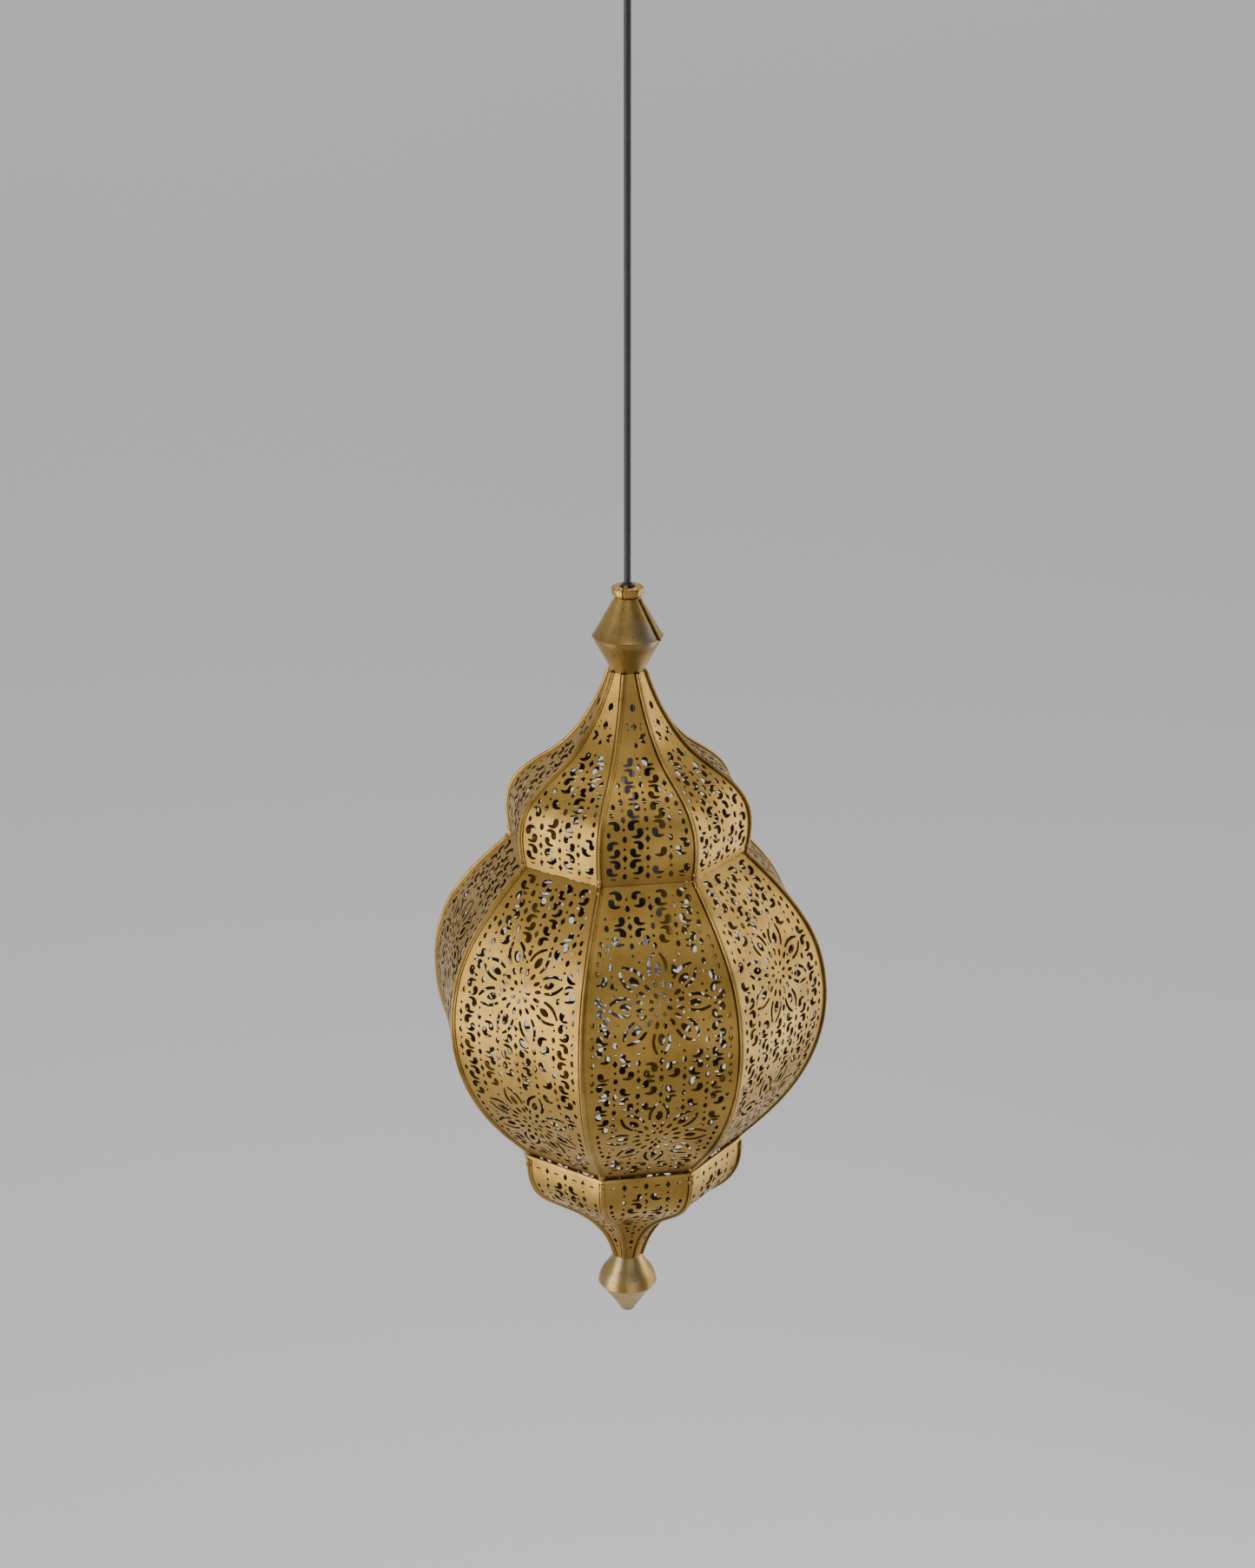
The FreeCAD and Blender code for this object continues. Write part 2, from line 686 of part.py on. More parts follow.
def leaf_plate(side, near, low, high):
    """Flat plate lying along a sheet beside the corner: side 1 is the door, -1 its neighbour."""
    slope = math.tan(HALF_SECTOR)
    far = near + LEAF_LENGTH
    near_y = BODY_REACH - near * slope
    far_y = BODY_REACH - far * slope
    outline = [
        (-side * near, near_y + LEAF_THICKNESS), (-side * far, far_y + LEAF_THICKNESS),
        (-side * far, far_y - LEAF_DEPTH), (-side * near, near_y - LEAF_DEPTH),
    ]
    return prism(outline, low, high)


def leaf_link(side, near, low, high):
    """Bent part of a leaf, from the plate up to its knuckles."""
    slope = math.tan(HALF_SECTOR)
    foot = BODY_REACH - near * slope
    root = near + 1.5
    top = KNUCKLE_RADIUS * 0.8
    half = 0.9
    sunk = 1.2
    outline = [
        (-side * root, foot - sunk), (-side * root, foot + LEAF_THICKNESS),
        (-side * top, HINGE_AXIS_RADIUS + half), (-side * top, HINGE_AXIS_RADIUS - half),
        (-side * near, foot - sunk),
    ]
    return prism(outline, low, high)


def hinge_pieces(centre):
    """Fixed leaf, door leaf and pin of one small three-knuckle hinge."""
    total = 3 * KNUCKLE_LENGTH
    low = centre - total / 2
    high = centre + total / 2
    middle = (low + KNUCKLE_LENGTH + KNUCKLE_SPACE / 2, high - KNUCKLE_LENGTH - KNUCKLE_SPACE / 2)
    ends = [(low, middle[0] - KNUCKLE_SPACE), (middle[1] + KNUCKLE_SPACE, high)]
    bore = cylinder(PIN_RADIUS + RUNNING, low - 1, high + 1, 0, HINGE_AXIS_RADIUS)
    body_fill = filled_sector(at_top(BODY))

    door = leaf_plate(1, DOOR_LEAF_NEAR, low, high)
    door = door.fuse([leaf_link(1, DOOR_LEAF_NEAR, *middle), knuckle(*middle)])
    door = turned(door.cut(bore), HINGE_CORNER).cut(body_fill)

    fixed = leaf_plate(-1, FIXED_LEAF_NEAR, low, high)
    for span in ends:
        fixed = fixed.fuse([leaf_link(-1, FIXED_LEAF_NEAR, *span), knuckle(*span)])
    fixed = turned(fixed.cut(bore), HINGE_CORNER).cut(turned(body_fill, -SECTOR))

    pin = cylinder(PIN_RADIUS, low - 0.8, high + 0.8, 0, HINGE_AXIS_RADIUS)
    head = cylinder(PIN_HEAD_RADIUS, high + RUNNING, high + 1.1, 0, HINGE_AXIS_RADIUS)
    return largest(fixed), largest(door), turned(pin.fuse(head), HINGE_CORNER)


def largest(shape):
    """The biggest solid of a cut result, without loose slivers."""
    return max(shape.Solids, key=lambda solid: solid.Volume)


BUTTON_LOW = RIB_PROUD + 0.3
BUTTON_THICKNESS = 1.2
BUTTON_HALF_LENGTH = 9.0
BUTTON_HALF_WIDTH = 3.0
RIVET_RADIUS = 1.5
RIVET_HEAD_RADIUS = 2.6
RIVET_HEAD = 1.0
KEEPER_X = (4.6, 8.4)
KEEPER_HALF = 4.0
KEEPER_DEPTH = 8.0    # reaches inside the sheet's face, before it is fitted to it


def radial_cylinder(radius, start, end):
    """Cylinder pointing out along the +Y corner direction at the equator."""
    return Part.makeCylinder(radius, end - start, V(0, start, EQUATOR_Z), V(0, 1, 0))


def latch_button():
    """Flat turn button, upright when released, on a rivet in the rib."""
    low = BODY_REACH + BUTTON_LOW
    straight = BUTTON_HALF_LENGTH - BUTTON_HALF_WIDTH
    plate = box((-BUTTON_HALF_WIDTH, BUTTON_HALF_WIDTH), (low, low + BUTTON_THICKNESS),
                (EQUATOR_Z - straight, EQUATOR_Z + straight))
    for side in (-1, 1):
        end = Part.makeCylinder(BUTTON_HALF_WIDTH, BUTTON_THICKNESS,
                                V(0, low, EQUATOR_Z + side * straight), V(0, 1, 0))
        plate = plate.fuse(end)
    plate = plate.cut(radial_cylinder(RIVET_RADIUS + RUNNING, low - 1, low + 5))
    return turned(plate.removeSplitter(), LATCH_CORNER)


def latch_rivet():
    """Rivet that the button turns on, headed over it."""
    foot = BODY_REACH + RIB_PROUD + RUNNING
    head = BODY_REACH + BUTTON_LOW + BUTTON_THICKNESS + CLOSE
    shank = radial_cylinder(RIVET_RADIUS, foot, head + RIVET_HEAD)
    cap = radial_cylinder(RIVET_HEAD_RADIUS, head, head + RIVET_HEAD)
    return turned(shank.fuse(cap), LATCH_CORNER).removeSplitter()


def latch_keeper():
    """Small upstand on the door's edge that the turned button lies over."""
    top = BODY_REACH + BUTTON_LOW - 0.25
    block = box(KEEPER_X, (top - KEEPER_DEPTH, top), (EQUATOR_Z - KEEPER_HALF, EQUATOR_Z + KEEPER_HALF))
    return largest(turned(block, LATCH_CORNER).cut(filled_sector(at_top(BODY))))


# ---- build -----------------------------------------------------------------------------

crown = at_top(CROWN)
body = at_top(BODY)
base = at_top(BASE)
seam = RIB_WIDTH / 2 + SEAM_GAP
BODY_REACH = offset_outline(body, 1.0, 0).toShape().optimalBoundingBox(False, False).YMax
print("widest corner radius", BODY_REACH)

nodes = {
    "ceiling_bracket": ceiling_bracket(),
    "canopy_cup": canopy_cup(),
    "canopy_screws": canopy_screws(),
    "terminal_block": terminal_block(),
    "cord_grip": cord_grip(),
    "cord_tail": cord_tail(),
    "strain_relief": strain_relief(),
    "pendant_cord": pendant_cord(),
    "cord_grommet": cord_grommet(),
    "top_collar": top_collar(),
    "top_finial_upper": top_finial_upper(),
    "top_finial_seam": seam_strip(),
    "top_finial_lower": top_finial_lower(),
    "hanger_tube": hanger_tube(),
    "tube_nuts": tube_nuts(),
    "neck_plate": neck_plate(),
    "lamp_holder_cap": lamp_holder_cap(),
    "lamp_holder_body": lamp_holder_body(),
    "lamp_holder_ring": lamp_holder_ring(),
    "lamp_holder_shell": lamp_holder_shell(),
    "lamp_holder_contact": lamp_holder_contact(),
    "inner_cord": inner_cord(),
    "bulb_cap": bulb_cap(),
    "bulb_glass": bulb_glass(),
    "base_hoop": base_hoop(),
    "bottom_finial_upper": bottom_finial_upper(),
    "bottom_finial_lower": bottom_finial_lower(),
    "latch_button": latch_button(),
    "latch_rivet": latch_rivet(),
    "latch_keeper": latch_keeper(),
}

# The eight sheets of each tier, numbered from the front panel round to the right.
FRONT = 180.0
DOOR_INDEX = SIDES // 2
tiers = (("crown", crown, CROWN_ENDS), ("body", body, BODY_ENDS), ("base", base, BASE_ENDS))
for tier, outline, ends in tiers:
    sheet = sheet_panel(outline, ends, seam)
    bar = lipped_rib(outline, ends) if tier == "body" else rib_bar(outline, ends, RIB_SUNK)
    print(tier, "rib solids", len(bar.Solids), "volume", bar.Volume)
    nodes[tier + "_ribs"] = group([turned(bar, SECTOR * i) for i in range(SIDES)])
    number = 0
    for i in range(SIDES):
        if tier == "body" and i == DOOR_INDEX:
            continue
        number += 1
        nodes[f"{tier}_panel_{number}"] = turned(sheet, FRONT + SECTOR * i)
nodes["body_door"] = sheet_panel(body, BODY_ENDS, seam + DOOR_GAP)

hinges = [hinge_pieces(EQUATOR_Z + side * HINGE_OFFSET_Z) for side in (-1, 1)]
nodes["hinge_fixed_leaves"] = group([pieces[0] for pieces in hinges])
nodes["hinge_door_leaves"] = group([pieces[1] for pieces in hinges])
nodes["hinge_pins"] = group([pieces[2] for pieces in hinges])

os.makedirs("parts", exist_ok=True)
for name, shape in nodes.items():
    if not shape.isValid() or shape.Volume <= 0:
        raise RuntimeError("bad shape: " + name)
    shape.exportStep("parts/" + name + ".step")
print(len(nodes), "nodes, latch and hinge corners at", LATCH_CORNER, HINGE_CORNER)
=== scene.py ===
import json
import math
import random
from collections import namedtuple

import bmesh
import bpy
import numpy as np
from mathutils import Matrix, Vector, noise
from mathutils.geometry import delaunay_2d_cdt


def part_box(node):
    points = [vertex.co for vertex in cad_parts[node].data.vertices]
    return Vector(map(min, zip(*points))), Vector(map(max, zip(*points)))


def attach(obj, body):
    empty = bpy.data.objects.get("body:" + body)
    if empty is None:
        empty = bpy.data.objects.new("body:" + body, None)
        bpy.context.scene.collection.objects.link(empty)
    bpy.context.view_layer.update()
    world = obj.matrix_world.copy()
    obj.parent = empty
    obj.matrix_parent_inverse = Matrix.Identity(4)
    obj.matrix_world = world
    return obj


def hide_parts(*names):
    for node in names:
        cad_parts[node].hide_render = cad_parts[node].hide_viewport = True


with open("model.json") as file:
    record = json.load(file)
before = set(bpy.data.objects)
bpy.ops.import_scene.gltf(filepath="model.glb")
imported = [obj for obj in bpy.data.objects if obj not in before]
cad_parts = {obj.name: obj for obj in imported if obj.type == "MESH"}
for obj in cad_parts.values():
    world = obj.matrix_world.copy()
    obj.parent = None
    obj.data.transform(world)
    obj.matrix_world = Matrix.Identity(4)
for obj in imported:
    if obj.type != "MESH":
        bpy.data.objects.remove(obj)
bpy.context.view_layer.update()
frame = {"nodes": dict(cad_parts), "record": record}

# Pierced octagonal hanging lantern. Metres, +Z up, origin at the ceiling face.

# ---- driving values --------------------------------------------------------------------

MM = 0.001
SIDES = 8
SECTOR = 2 * math.pi / SIDES
HALF = SECTOR / 2
SHEET = 0.0008        # thickness of the pierced sheet
SEAM = 0.00225        # from a corner's plane to the edge of a sheet
DOOR_SEAM = 0.00325   # the same at the door, which swings past its ribs
TIER_GAP = 0.00012    # from the end of a tier to its sheets

COLLAR_HEIGHT = 0.0072
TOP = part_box("top_finial_upper")[1][2] + COLLAR_HEIGHT
CORD_DIAMETER = 0.0047

# Corner outlines of the three tiers: (radius, height from the collar top), as in the CAD.
CROWN = [(0.0118, -0.0555), (0.0165, -0.0685), (0.028, -0.091), (0.046, -0.113),
         (0.068, -0.129), (0.0815, -0.145), (0.0843, -0.163), (0.0815, -0.183)]
BODY = [(0.0803, -0.1803), (0.1114, -0.2115), (0.1297, -0.239), (0.138, -0.27),
        (0.1383, -0.294), (0.1315, -0.325), (0.1125, -0.361), (0.0774, -0.4005)]
BASE = [(0.0815, -0.400), (0.081, -0.414), (0.0755, -0.429), (0.056, -0.446),
        (0.032, -0.465), (0.0155, -0.488), (0.010, -0.5045)]
CROWN_ENDS = (-0.057, -0.1813)
BODY_ENDS = (-0.1813, -0.3992)
BASE_ENDS = (-0.4015, -0.503)


# ---- camera ----------------------------------------------------------------------------

SENSOR_WIDTH = 36     # millimetres, as is the lens
LENS = 68.686505
CAMERA_AZIMUTH = math.radians(-10)
CAMERA_DISTANCE = 1.522
CAMERA_ABOVE_COLLAR = 0.4242
CAMERA_PITCH = math.radians(20.3)


def make_camera():
    data = bpy.data.cameras.new("camera")
    data.sensor_fit = "HORIZONTAL"
    data.sensor_width = SENSOR_WIDTH
    data.lens = LENS
    data.clip_end = 100
    camera = bpy.data.objects.new("camera", data)
    bpy.context.collection.objects.link(camera)
    camera.location = (CAMERA_DISTANCE * math.sin(CAMERA_AZIMUTH),
                       -CAMERA_DISTANCE * math.cos(CAMERA_AZIMUTH), TOP + CAMERA_ABOVE_COLLAR)
    camera.rotation_euler = (math.pi / 2 - CAMERA_PITCH, 0, CAMERA_AZIMUTH)
    bpy.context.scene.camera = camera


make_camera()


# ---- materials -------------------------------------------------------------------------

def new_material(name):
    material = bpy.data.materials.new(name)
    material.use_nodes = True
    nodes = material.node_tree.nodes
    return material, nodes, material.node_tree.links, nodes["Principled BSDF"]


def noise_node(nodes, links, coords, scale, detail, roughness=0.6):
    node = nodes.new("ShaderNodeTexNoise")
    node.inputs["Scale"].default_value = scale
    node.inputs["Detail"].default_value = detail
    node.inputs["Roughness"].default_value = roughness
    links.new(coords, node.inputs["Vector"])
    return node.outputs["Fac"]


def ramp_node(nodes, links, value, stops):
    node = nodes.new("ShaderNodeValToRGB")
    while len(node.color_ramp.elements) < len(stops):
        node.color_ramp.elements.new(0.5)
    for element, (position, colour) in zip(node.color_ramp.elements, stops):
        element.position = position
        element.color = (*colour, 1)
    links.new(value, node.inputs["Fac"])
    return node.outputs["Color"]


def mix_node(nodes, links, factor, under, colour):
    """Lays a plain colour over what is under it, as far as the factor says."""
    node = nodes.new("ShaderNodeMix")
    node.data_type = "RGBA"
    links.new(factor, node.inputs["Factor"])
    links.new(under, node.inputs["A"])
    node.inputs["B"].default_value = (*colour, 1)
    return node.outputs["Result"]


def range_node(nodes, links, value, low, high, start=0.3, end=0.7):
    node = nodes.new("ShaderNodeMapRange")
    node.inputs["From Min"].default_value = start
    node.inputs["From Max"].default_value = end
    node.inputs["To Min"].default_value = low
    node.inputs["To Max"].default_value = high
    links.new(value, node.inputs["Value"])
    return node.outputs["Result"]


def bump_node(nodes, links, height, strength, distance):
    node = nodes.new("ShaderNodeBump")
    node.inputs["Strength"].default_value = strength
    node.inputs["Distance"].default_value = distance
    links.new(height, node.inputs["Height"])
    return node.outputs["Normal"]


BLACK = (0, 0, 0)
# Grey laid in patches on the finials' dark gold: painted sheen.
PAINTED_SHEEN_GREY = (0.24, 0.235, 0.22)
FLECK_SHADE = (0.45, 0.42, 0.38)    # how dark the specks are, against the darkest tone
METAL_GRAIN = 0.25
FINISH_GRAIN = 0.2
FINISH_SPREAD = 0.12                # change of tone either way on a plain finish


def aged_metal(name, light, middle, dark, roughness, spots=0.62, painted_sheen=0.0):
    """Unevenly tarnished sheet: clouds of tone, dark specks, and patches of grey that paint a sheen.
    """
    material, nodes, links, shader = new_material(name)
    coords = nodes.new("ShaderNodeTexCoord").outputs["Object"]
    clouds = noise_node(nodes, links, coords, 26, 5)
    specks = noise_node(nodes, links, coords, 420, 4, 0.7)
    grain = noise_node(nodes, links, coords, 1500, 2)
    tone = ramp_node(nodes, links, clouds, [(0.3, dark), (0.5, middle), (0.7, light)])
    fleck = ramp_node(nodes, links, specks, [(spots, BLACK), (spots + 0.1, (1, 1, 1))])
    fleck_colour = tuple(d * shade for d, shade in zip(dark, FLECK_SHADE))
    colour = mix_node(nodes, links, fleck, tone, fleck_colour)
    # Patches of grey: painted sheen.
    if painted_sheen:
        patches = noise_node(nodes, links, coords, 34, 6, 0.65)
        cover = ramp_node(nodes, links, patches, [(0.52, BLACK), (0.66, (painted_sheen, painted_sheen, painted_sheen))])
        colour = mix_node(nodes, links, cover, colour, PAINTED_SHEEN_GREY)
    links.new(colour, shader.inputs["Base Color"])
    shader.inputs["Metallic"].default_value = 1.0
    rough = range_node(nodes, links, clouds, roughness + 0.09, roughness - 0.06)
    links.new(rough, shader.inputs["Roughness"])
    links.new(bump_node(nodes, links, grain, METAL_GRAIN, 0.0002), shader.inputs["Normal"])
    return material


def plain_finish(name, colour, roughness, metallic=0.0, bump=FINISH_GRAIN):
    """Moulded, rubber or plated finish: fine grain and a slight change of tone."""
    material, nodes, links, shader = new_material(name)
    coords = nodes.new("ShaderNodeTexCoord").outputs["Object"]
    clouds = noise_node(nodes, links, coords, 60, 4)
    grain = noise_node(nodes, links, coords, 900, 3)
    low = tuple(c * (1 - FINISH_SPREAD) for c in colour)
    high = tuple(min(1.0, c * (1 + FINISH_SPREAD) + 0.003) for c in colour)
    tone = ramp_node(nodes, links, clouds, [(0.3, low), (0.7, high)])
    links.new(tone, shader.inputs["Base Color"])
    shader.inputs["Metallic"].default_value = metallic
    rough = range_node(nodes, links, clouds, roughness + 0.06, roughness - 0.04)
    links.new(rough, shader.inputs["Roughness"])
    links.new(bump_node(nodes, links, grain, bump, 0.0001), shader.inputs["Normal"])
    return material


def glass_finish():
    material, nodes, links, shader = new_material("bulb_glass")
    coords = nodes.new("ShaderNodeTexCoord").outputs["Object"]
    ripple = noise_node(nodes, links, coords, 40, 2)
    links.new(bump_node(nodes, links, ripple, 0.05, 0.0005), shader.inputs["Normal"])
    shader.inputs["Base Color"].default_value = (0.97, 0.98, 0.98, 1)
    shader.inputs["Transmission Weight"].default_value = 1.0
    shader.inputs["Roughness"].default_value = 0.03
    shader.inputs["IOR"].default_value = 1.45
    return material


SWEEP_TONE = 0.62
SWEEP_GLOW = 0.3


def sweep_surface():
    """Matt grey paper with a faint glow, so that what shows through the holes isn't white."""
    material, _, _, shader = new_material("studio_grey")
    shader.inputs["Base Color"].default_value = (SWEEP_TONE, SWEEP_TONE, SWEEP_TONE, 1)
    shader.inputs["Roughness"].default_value = 1.0
    shader.inputs["Specular IOR Level"].default_value = 0.0
    shader.inputs["Emission Color"].default_value = (1, 1, 1, 1)
    shader.inputs["Emission Strength"].default_value = SWEEP_GLOW
    return material


# Aged metals: light, middle and dark tone, then roughness.
GOLD = aged_metal("aged_gold", (0.50, 0.31, 0.082), (0.43, 0.26, 0.062), (0.32, 0.185, 0.038), 0.42)
RIB_GOLD = aged_metal("rib_gold", (0.58, 0.37, 0.11), (0.42, 0.255, 0.065), (0.25, 0.145, 0.032),
                      0.36)
# The finials' dark gold, with grey patches of painted sheen.
DULL_GOLD = aged_metal("dull_gold", (0.54, 0.36, 0.12), (0.40, 0.26, 0.078), (0.20, 0.12, 0.036),
                       0.38, spots=0.60, painted_sheen=0.55)
# A darker copy of the gold, painted shade: it goes on the sheets' inner sides, in the ribs' grooves
# and on one side of the rolled seam.
PAINTED_SHADE_GOLD = aged_metal("painted_shade_gold", (0.20, 0.12, 0.036), (0.14, 0.083, 0.024),
                        (0.07, 0.04, 0.012), 0.58)

# Plain finishes: colour and roughness.
CORD_SHEATH = plain_finish("cord_sheath", (0.022, 0.022, 0.031), 0.36, bump=0.04)

CAD_FINISHES = {
    "antique_gold": GOLD,
    "dark_gold": DULL_GOLD,
    "bright_brass": plain_finish("bright_brass", (0.75, 0.58, 0.27), 0.28, metallic=1.0),
    "plated_steel": plain_finish("plated_steel", (0.34, 0.34, 0.33), 0.42, metallic=1.0),
    "bulb_metal": plain_finish("bulb_metal", (0.75, 0.75, 0.75), 0.3, metallic=1.0),
    "black_plastic": plain_finish("black_plastic", (0.02, 0.02, 0.022), 0.45),
    "black_rubber": plain_finish("black_rubber", (0.018, 0.018, 0.02), 0.62),
    "pale_plastic": plain_finish("pale_plastic", (0.75, 0.72, 0.64), 0.4),
    "cord_sheath": CORD_SHEATH,
    "clear_glass": glass_finish(),
}


def finish_cad_nodes():
    """Every node carried over from the CAD gets the finish of its own slot."""
    slots = {part["node"]: part["material_slot"] for part in frame["record"]["subparts"]}
    for node, obj in frame["nodes"].items():
        material = CAD_FINISHES[slots[node]]
        if not obj.material_slots:
            obj.data.materials.append(material)
        for slot in obj.material_slots:
            slot.material = material


finish_cad_nodes()


# ---- outlines --------------------------------------------------------------------------

def cubic_through(points, samples=600):
    """Dense natural cubic line through points, spaced by their distances."""
    points = np.array(points, float)
    gaps = np.hypot(*np.diff(points, axis=0).T)
    knots = np.concatenate([[0], np.cumsum(gaps)])
    count = len(points)
    system = np.eye(count)
    right = np.zeros((count, 2))
    for i in range(1, count - 1):
        before, after = gaps[i - 1], gaps[i]
        system[i, i - 1:i + 2] = before, 2 * (before + after), after
        turn = (points[i + 1] - points[i]) / after - (points[i] - points[i - 1]) / before
        right[i] = 6 * turn
    second = np.linalg.solve(system, right)
    t = np.linspace(0, knots[-1], samples)
    i = np.clip(np.searchsorted(knots, t, side="right") - 1, 0, count - 2)
    step = gaps[i][:, None]
    a = (knots[i + 1] - t)[:, None]
    b = (t - knots[i])[:, None]
    return (second[i] * a ** 3 + second[i + 1] * b ** 3) / (6 * step) \
        + (points[i] / step - second[i] * step / 6) * a \
        + (points[i + 1] / step - second[i + 1] * step / 6) * b


class Outline:
    """A tier's line from top to bottom, by length along it: radius, height and slope."""

    def __init__(self, points, ends, scale, gap):
        line = cubic_through([(r * scale, z) for r, z in points])
        keep = (line[:, 1] <= ends[0] - gap) & (line[:, 1] >= ends[1] + gap)
        line = line[keep]
        self.radius = line[:, 0]
        self.height = line[:, 1]
        steps = np.hypot(np.diff(self.radius), np.diff(self.height))
        self.run = np.concatenate([[0], np.cumsum(steps)])
        self.length = self.run[-1]
        self.slope_r = np.gradient(self.radius, self.run)
        self.slope_z = np.gradient(self.height, self.run)

    def at(self, v):
        """Radius, height and outward normal (radial, vertical) at lengths v."""
        r = np.interp(v, self.run, self.radius)
        z = np.interp(v, self.run, self.height)
        dr = np.interp(v, self.run, self.slope_r)
        dz = np.interp(v, self.run, self.slope_z)
        size = np.hypot(dr, dz)
        return r, z, -dz / size, dr / size

    def point(self, v):
        """The same at one length, as plain numbers."""
        return tuple(float(value) for value in self.at(v))


# ---- pierced pattern, in a sheet's own flat millimetres --------------------------------

PITCH_ACROSS = 15.3
PITCH_DOWN = 12.9
ROSETTES_DOWN = (81.0, 187.0)
BRIDGE = 0.6            # least metal between two holes
ROSETTE_BRIDGE = 0.45   # the same inside a rosette
EDGE_BRIDGE = 1.5       # the same for the ovals down the edges


class Pattern:
    """Holes punched in one sheet: loops of (across, down) points that keep clear."""

    def __init__(self, half_width, length, margin, index, seed):
        self.half_width = half_width
        self.length = length
        self.margin = margin
        self.index = index
        self.random = random.Random(seed)
        self.loops = []
        self.points = np.zeros((0, 2))

    def add(self, outline, x, y, turn=0.0, bridge=BRIDGE):
        """Places one hole, a little off true, unless it meets an edge or another hole."""
        turn += self.random.gauss(0, 0.05)
        x += self.random.gauss(0, 0.12)
        y += self.random.gauss(0, 0.12)
        size = 1 + self.random.gauss(0, 0.035)
        c, s = math.cos(turn) * size, math.sin(turn) * size
        loop = np.array([(x + c * a - s * b, y + s * a + c * b) for a, b in outline])
        across, down = loop[:, 0], loop[:, 1]
        if not (np.abs(across) < self.half_width(down) - self.margin).all():
            return
        if down.min() < self.margin or down.max() > self.length - self.margin:
            return
        if len(self.points):
            apart = np.hypot(self.points[:, None, 0] - across, self.points[:, None, 1] - down)
            if apart.min() < bridge:
                return
        self.loops.append(loop)
        self.points = np.vstack([self.points, loop])


def oval(across, down, count=12, point=0.0):
    """Oval, with its ends drawn to points when point is above 0."""
    shape = []
    for i in range(count):
        angle = 2 * math.pi * i / count
        narrow = 1 - point * abs(math.sin(angle)) ** 2 * 0.55
        shape.append((across * math.cos(angle) * narrow, down * math.sin(angle)))
    return shape


def diamond(across, down):
    """Diamond with its corners cut off and its sides a little hollow."""
    corners = [(across, 0), (0, down), (-across, 0), (0, -down)]
    shape = []
    for i, (x, y) in enumerate(corners):
        nx, ny = corners[(i + 1) % 4]
        shape += [(x * 0.88 + nx * 0.12, y * 0.88 + ny * 0.12), ((x + nx) * 0.47, (y + ny) * 0.47),
                  (x * 0.12 + nx * 0.88, y * 0.12 + ny * 0.88)]
    return shape


def round_end(centre, direction, sideways, radius, count):
    """Points of a half circle that closes a slot."""
    angles = [math.pi * (i + 1) / (count + 1) for i in range(count)]
    return [centre + radius * (math.cos(a) * sideways + math.sin(a) * direction) for a in angles]


def tapered_slot(path, radii, steps=7):
    """Closed outline round a bent line whose half width goes through radii."""
    path = cubic_through(path, steps)
    wide = np.interp(np.linspace(0, 1, steps), np.linspace(0, 1, len(radii)), radii)
    along = np.gradient(path, axis=0)
    along /= np.hypot(along[:, 0], along[:, 1])[:, None]
    side = np.stack([-along[:, 1], along[:, 0]], 1)
    left = path + side * wide[:, None]
    right = path - side * wide[:, None]
    end = round_end(path[-1], along[-1], side[-1], wide[-1], 2)
    start = round_end(path[0], -along[0], -side[0], wide[0], 4)
    return [tuple(p) for p in [*left, *end, *right[::-1], *start]]


def half_turned(shape):
    return [(-x, -y) for x, y in shape]


def comma_pair(pattern, x, y, mirror):
    """Two round-headed commas whose tails curl over, one half turned against the other."""
    path = [(-2.65, -1.35), (-2.6, -3.2), (-1.0, -4.7), (2.3, -4.65)]
    radii = [2.15, 2.05, 1.5, 1.05, 0.7]
    comma = [(a * mirror, b) for a, b in tapered_slot(path, radii)]
    pattern.add(comma, x, y)
    pattern.add(half_turned(comma), x, y)


def rosette(pattern, x, y, turn):
    """Eight-petalled rosette: dot, two rings of ovals, then petals of three cuts each."""
    def around(shape, radius, angle):
        pattern.add(shape, x + radius * math.sin(angle), y - radius * math.cos(angle), angle,
                    ROSETTE_BRIDGE)

    pattern.add(oval(0.95, 0.95, 10), x, y)
    for i in range(8):
        around(oval(1.2, 1.95), 6.5, turn + math.pi * (2 * i + 1) / 8)
    for i in range(16):
        around(oval(1.35, 2.65), 13.9, turn + math.pi * (2 * i + 1) / 16)
    slot_path = [(5.2, 6.5), (5.7, 1.6), (4.7, -2.6), (2.2, -7.0)]
    slot = tapered_slot(slot_path, [0.95, 1.15, 1.1, 0.85])
    mirrored = [(-a, b) for a, b in slot]
    for i in range(8):
        angle = turn + math.pi * i / 4
        around(oval(2.45, 4.2, 16, 0.3), 23.0, angle)
        around(slot, 26.4, angle)
        around(mirrored, 26.4, angle)
    for i in range(8):
        around(oval(0.9, 0.9, 8), 30.6, turn + math.pi * (2 * i + 1) / 8)


def lattice(pattern, rows, first_row, columns):
    """Mirrored comma pairs in rows and columns, with holes between and beside them."""
    for row in range(rows):
        y = first_row + row * PITCH_DOWN
        for column in range(-columns, columns):
            mirror = 1 if (row + column) % 2 else -1
            comma_pair(pattern, (column + 0.5) * PITCH_ACROSS, y, mirror)
    for gap in range(-columns, columns + 1):
        for row in range(rows + 1):
            y = first_row + (row - 0.5) * PITCH_DOWN
            big = diamond(1.8, 2.9) if (row + gap) % 2 else oval(1.55, 2.3)
            pattern.add(big, gap * PITCH_ACROSS, y)
            pattern.add(oval(0.9, 1.1, 8), gap * PITCH_ACROSS, y + PITCH_DOWN / 2)


def edge_ovals(pattern, start):
    """A line of ovals down both edges, where the lattice leaves room."""
    pitch = PITCH_DOWN / 2
    for i in range(int((pattern.length - start) / pitch)):
        y = start + i * pitch
        edge = float(pattern.half_width(np.array([y]))[0]) - pattern.margin
        for side in (-1, 1):
            pattern.add(oval(1.3, 2.0, 10), side * (edge - 1.9), y, bridge=EDGE_BRIDGE)


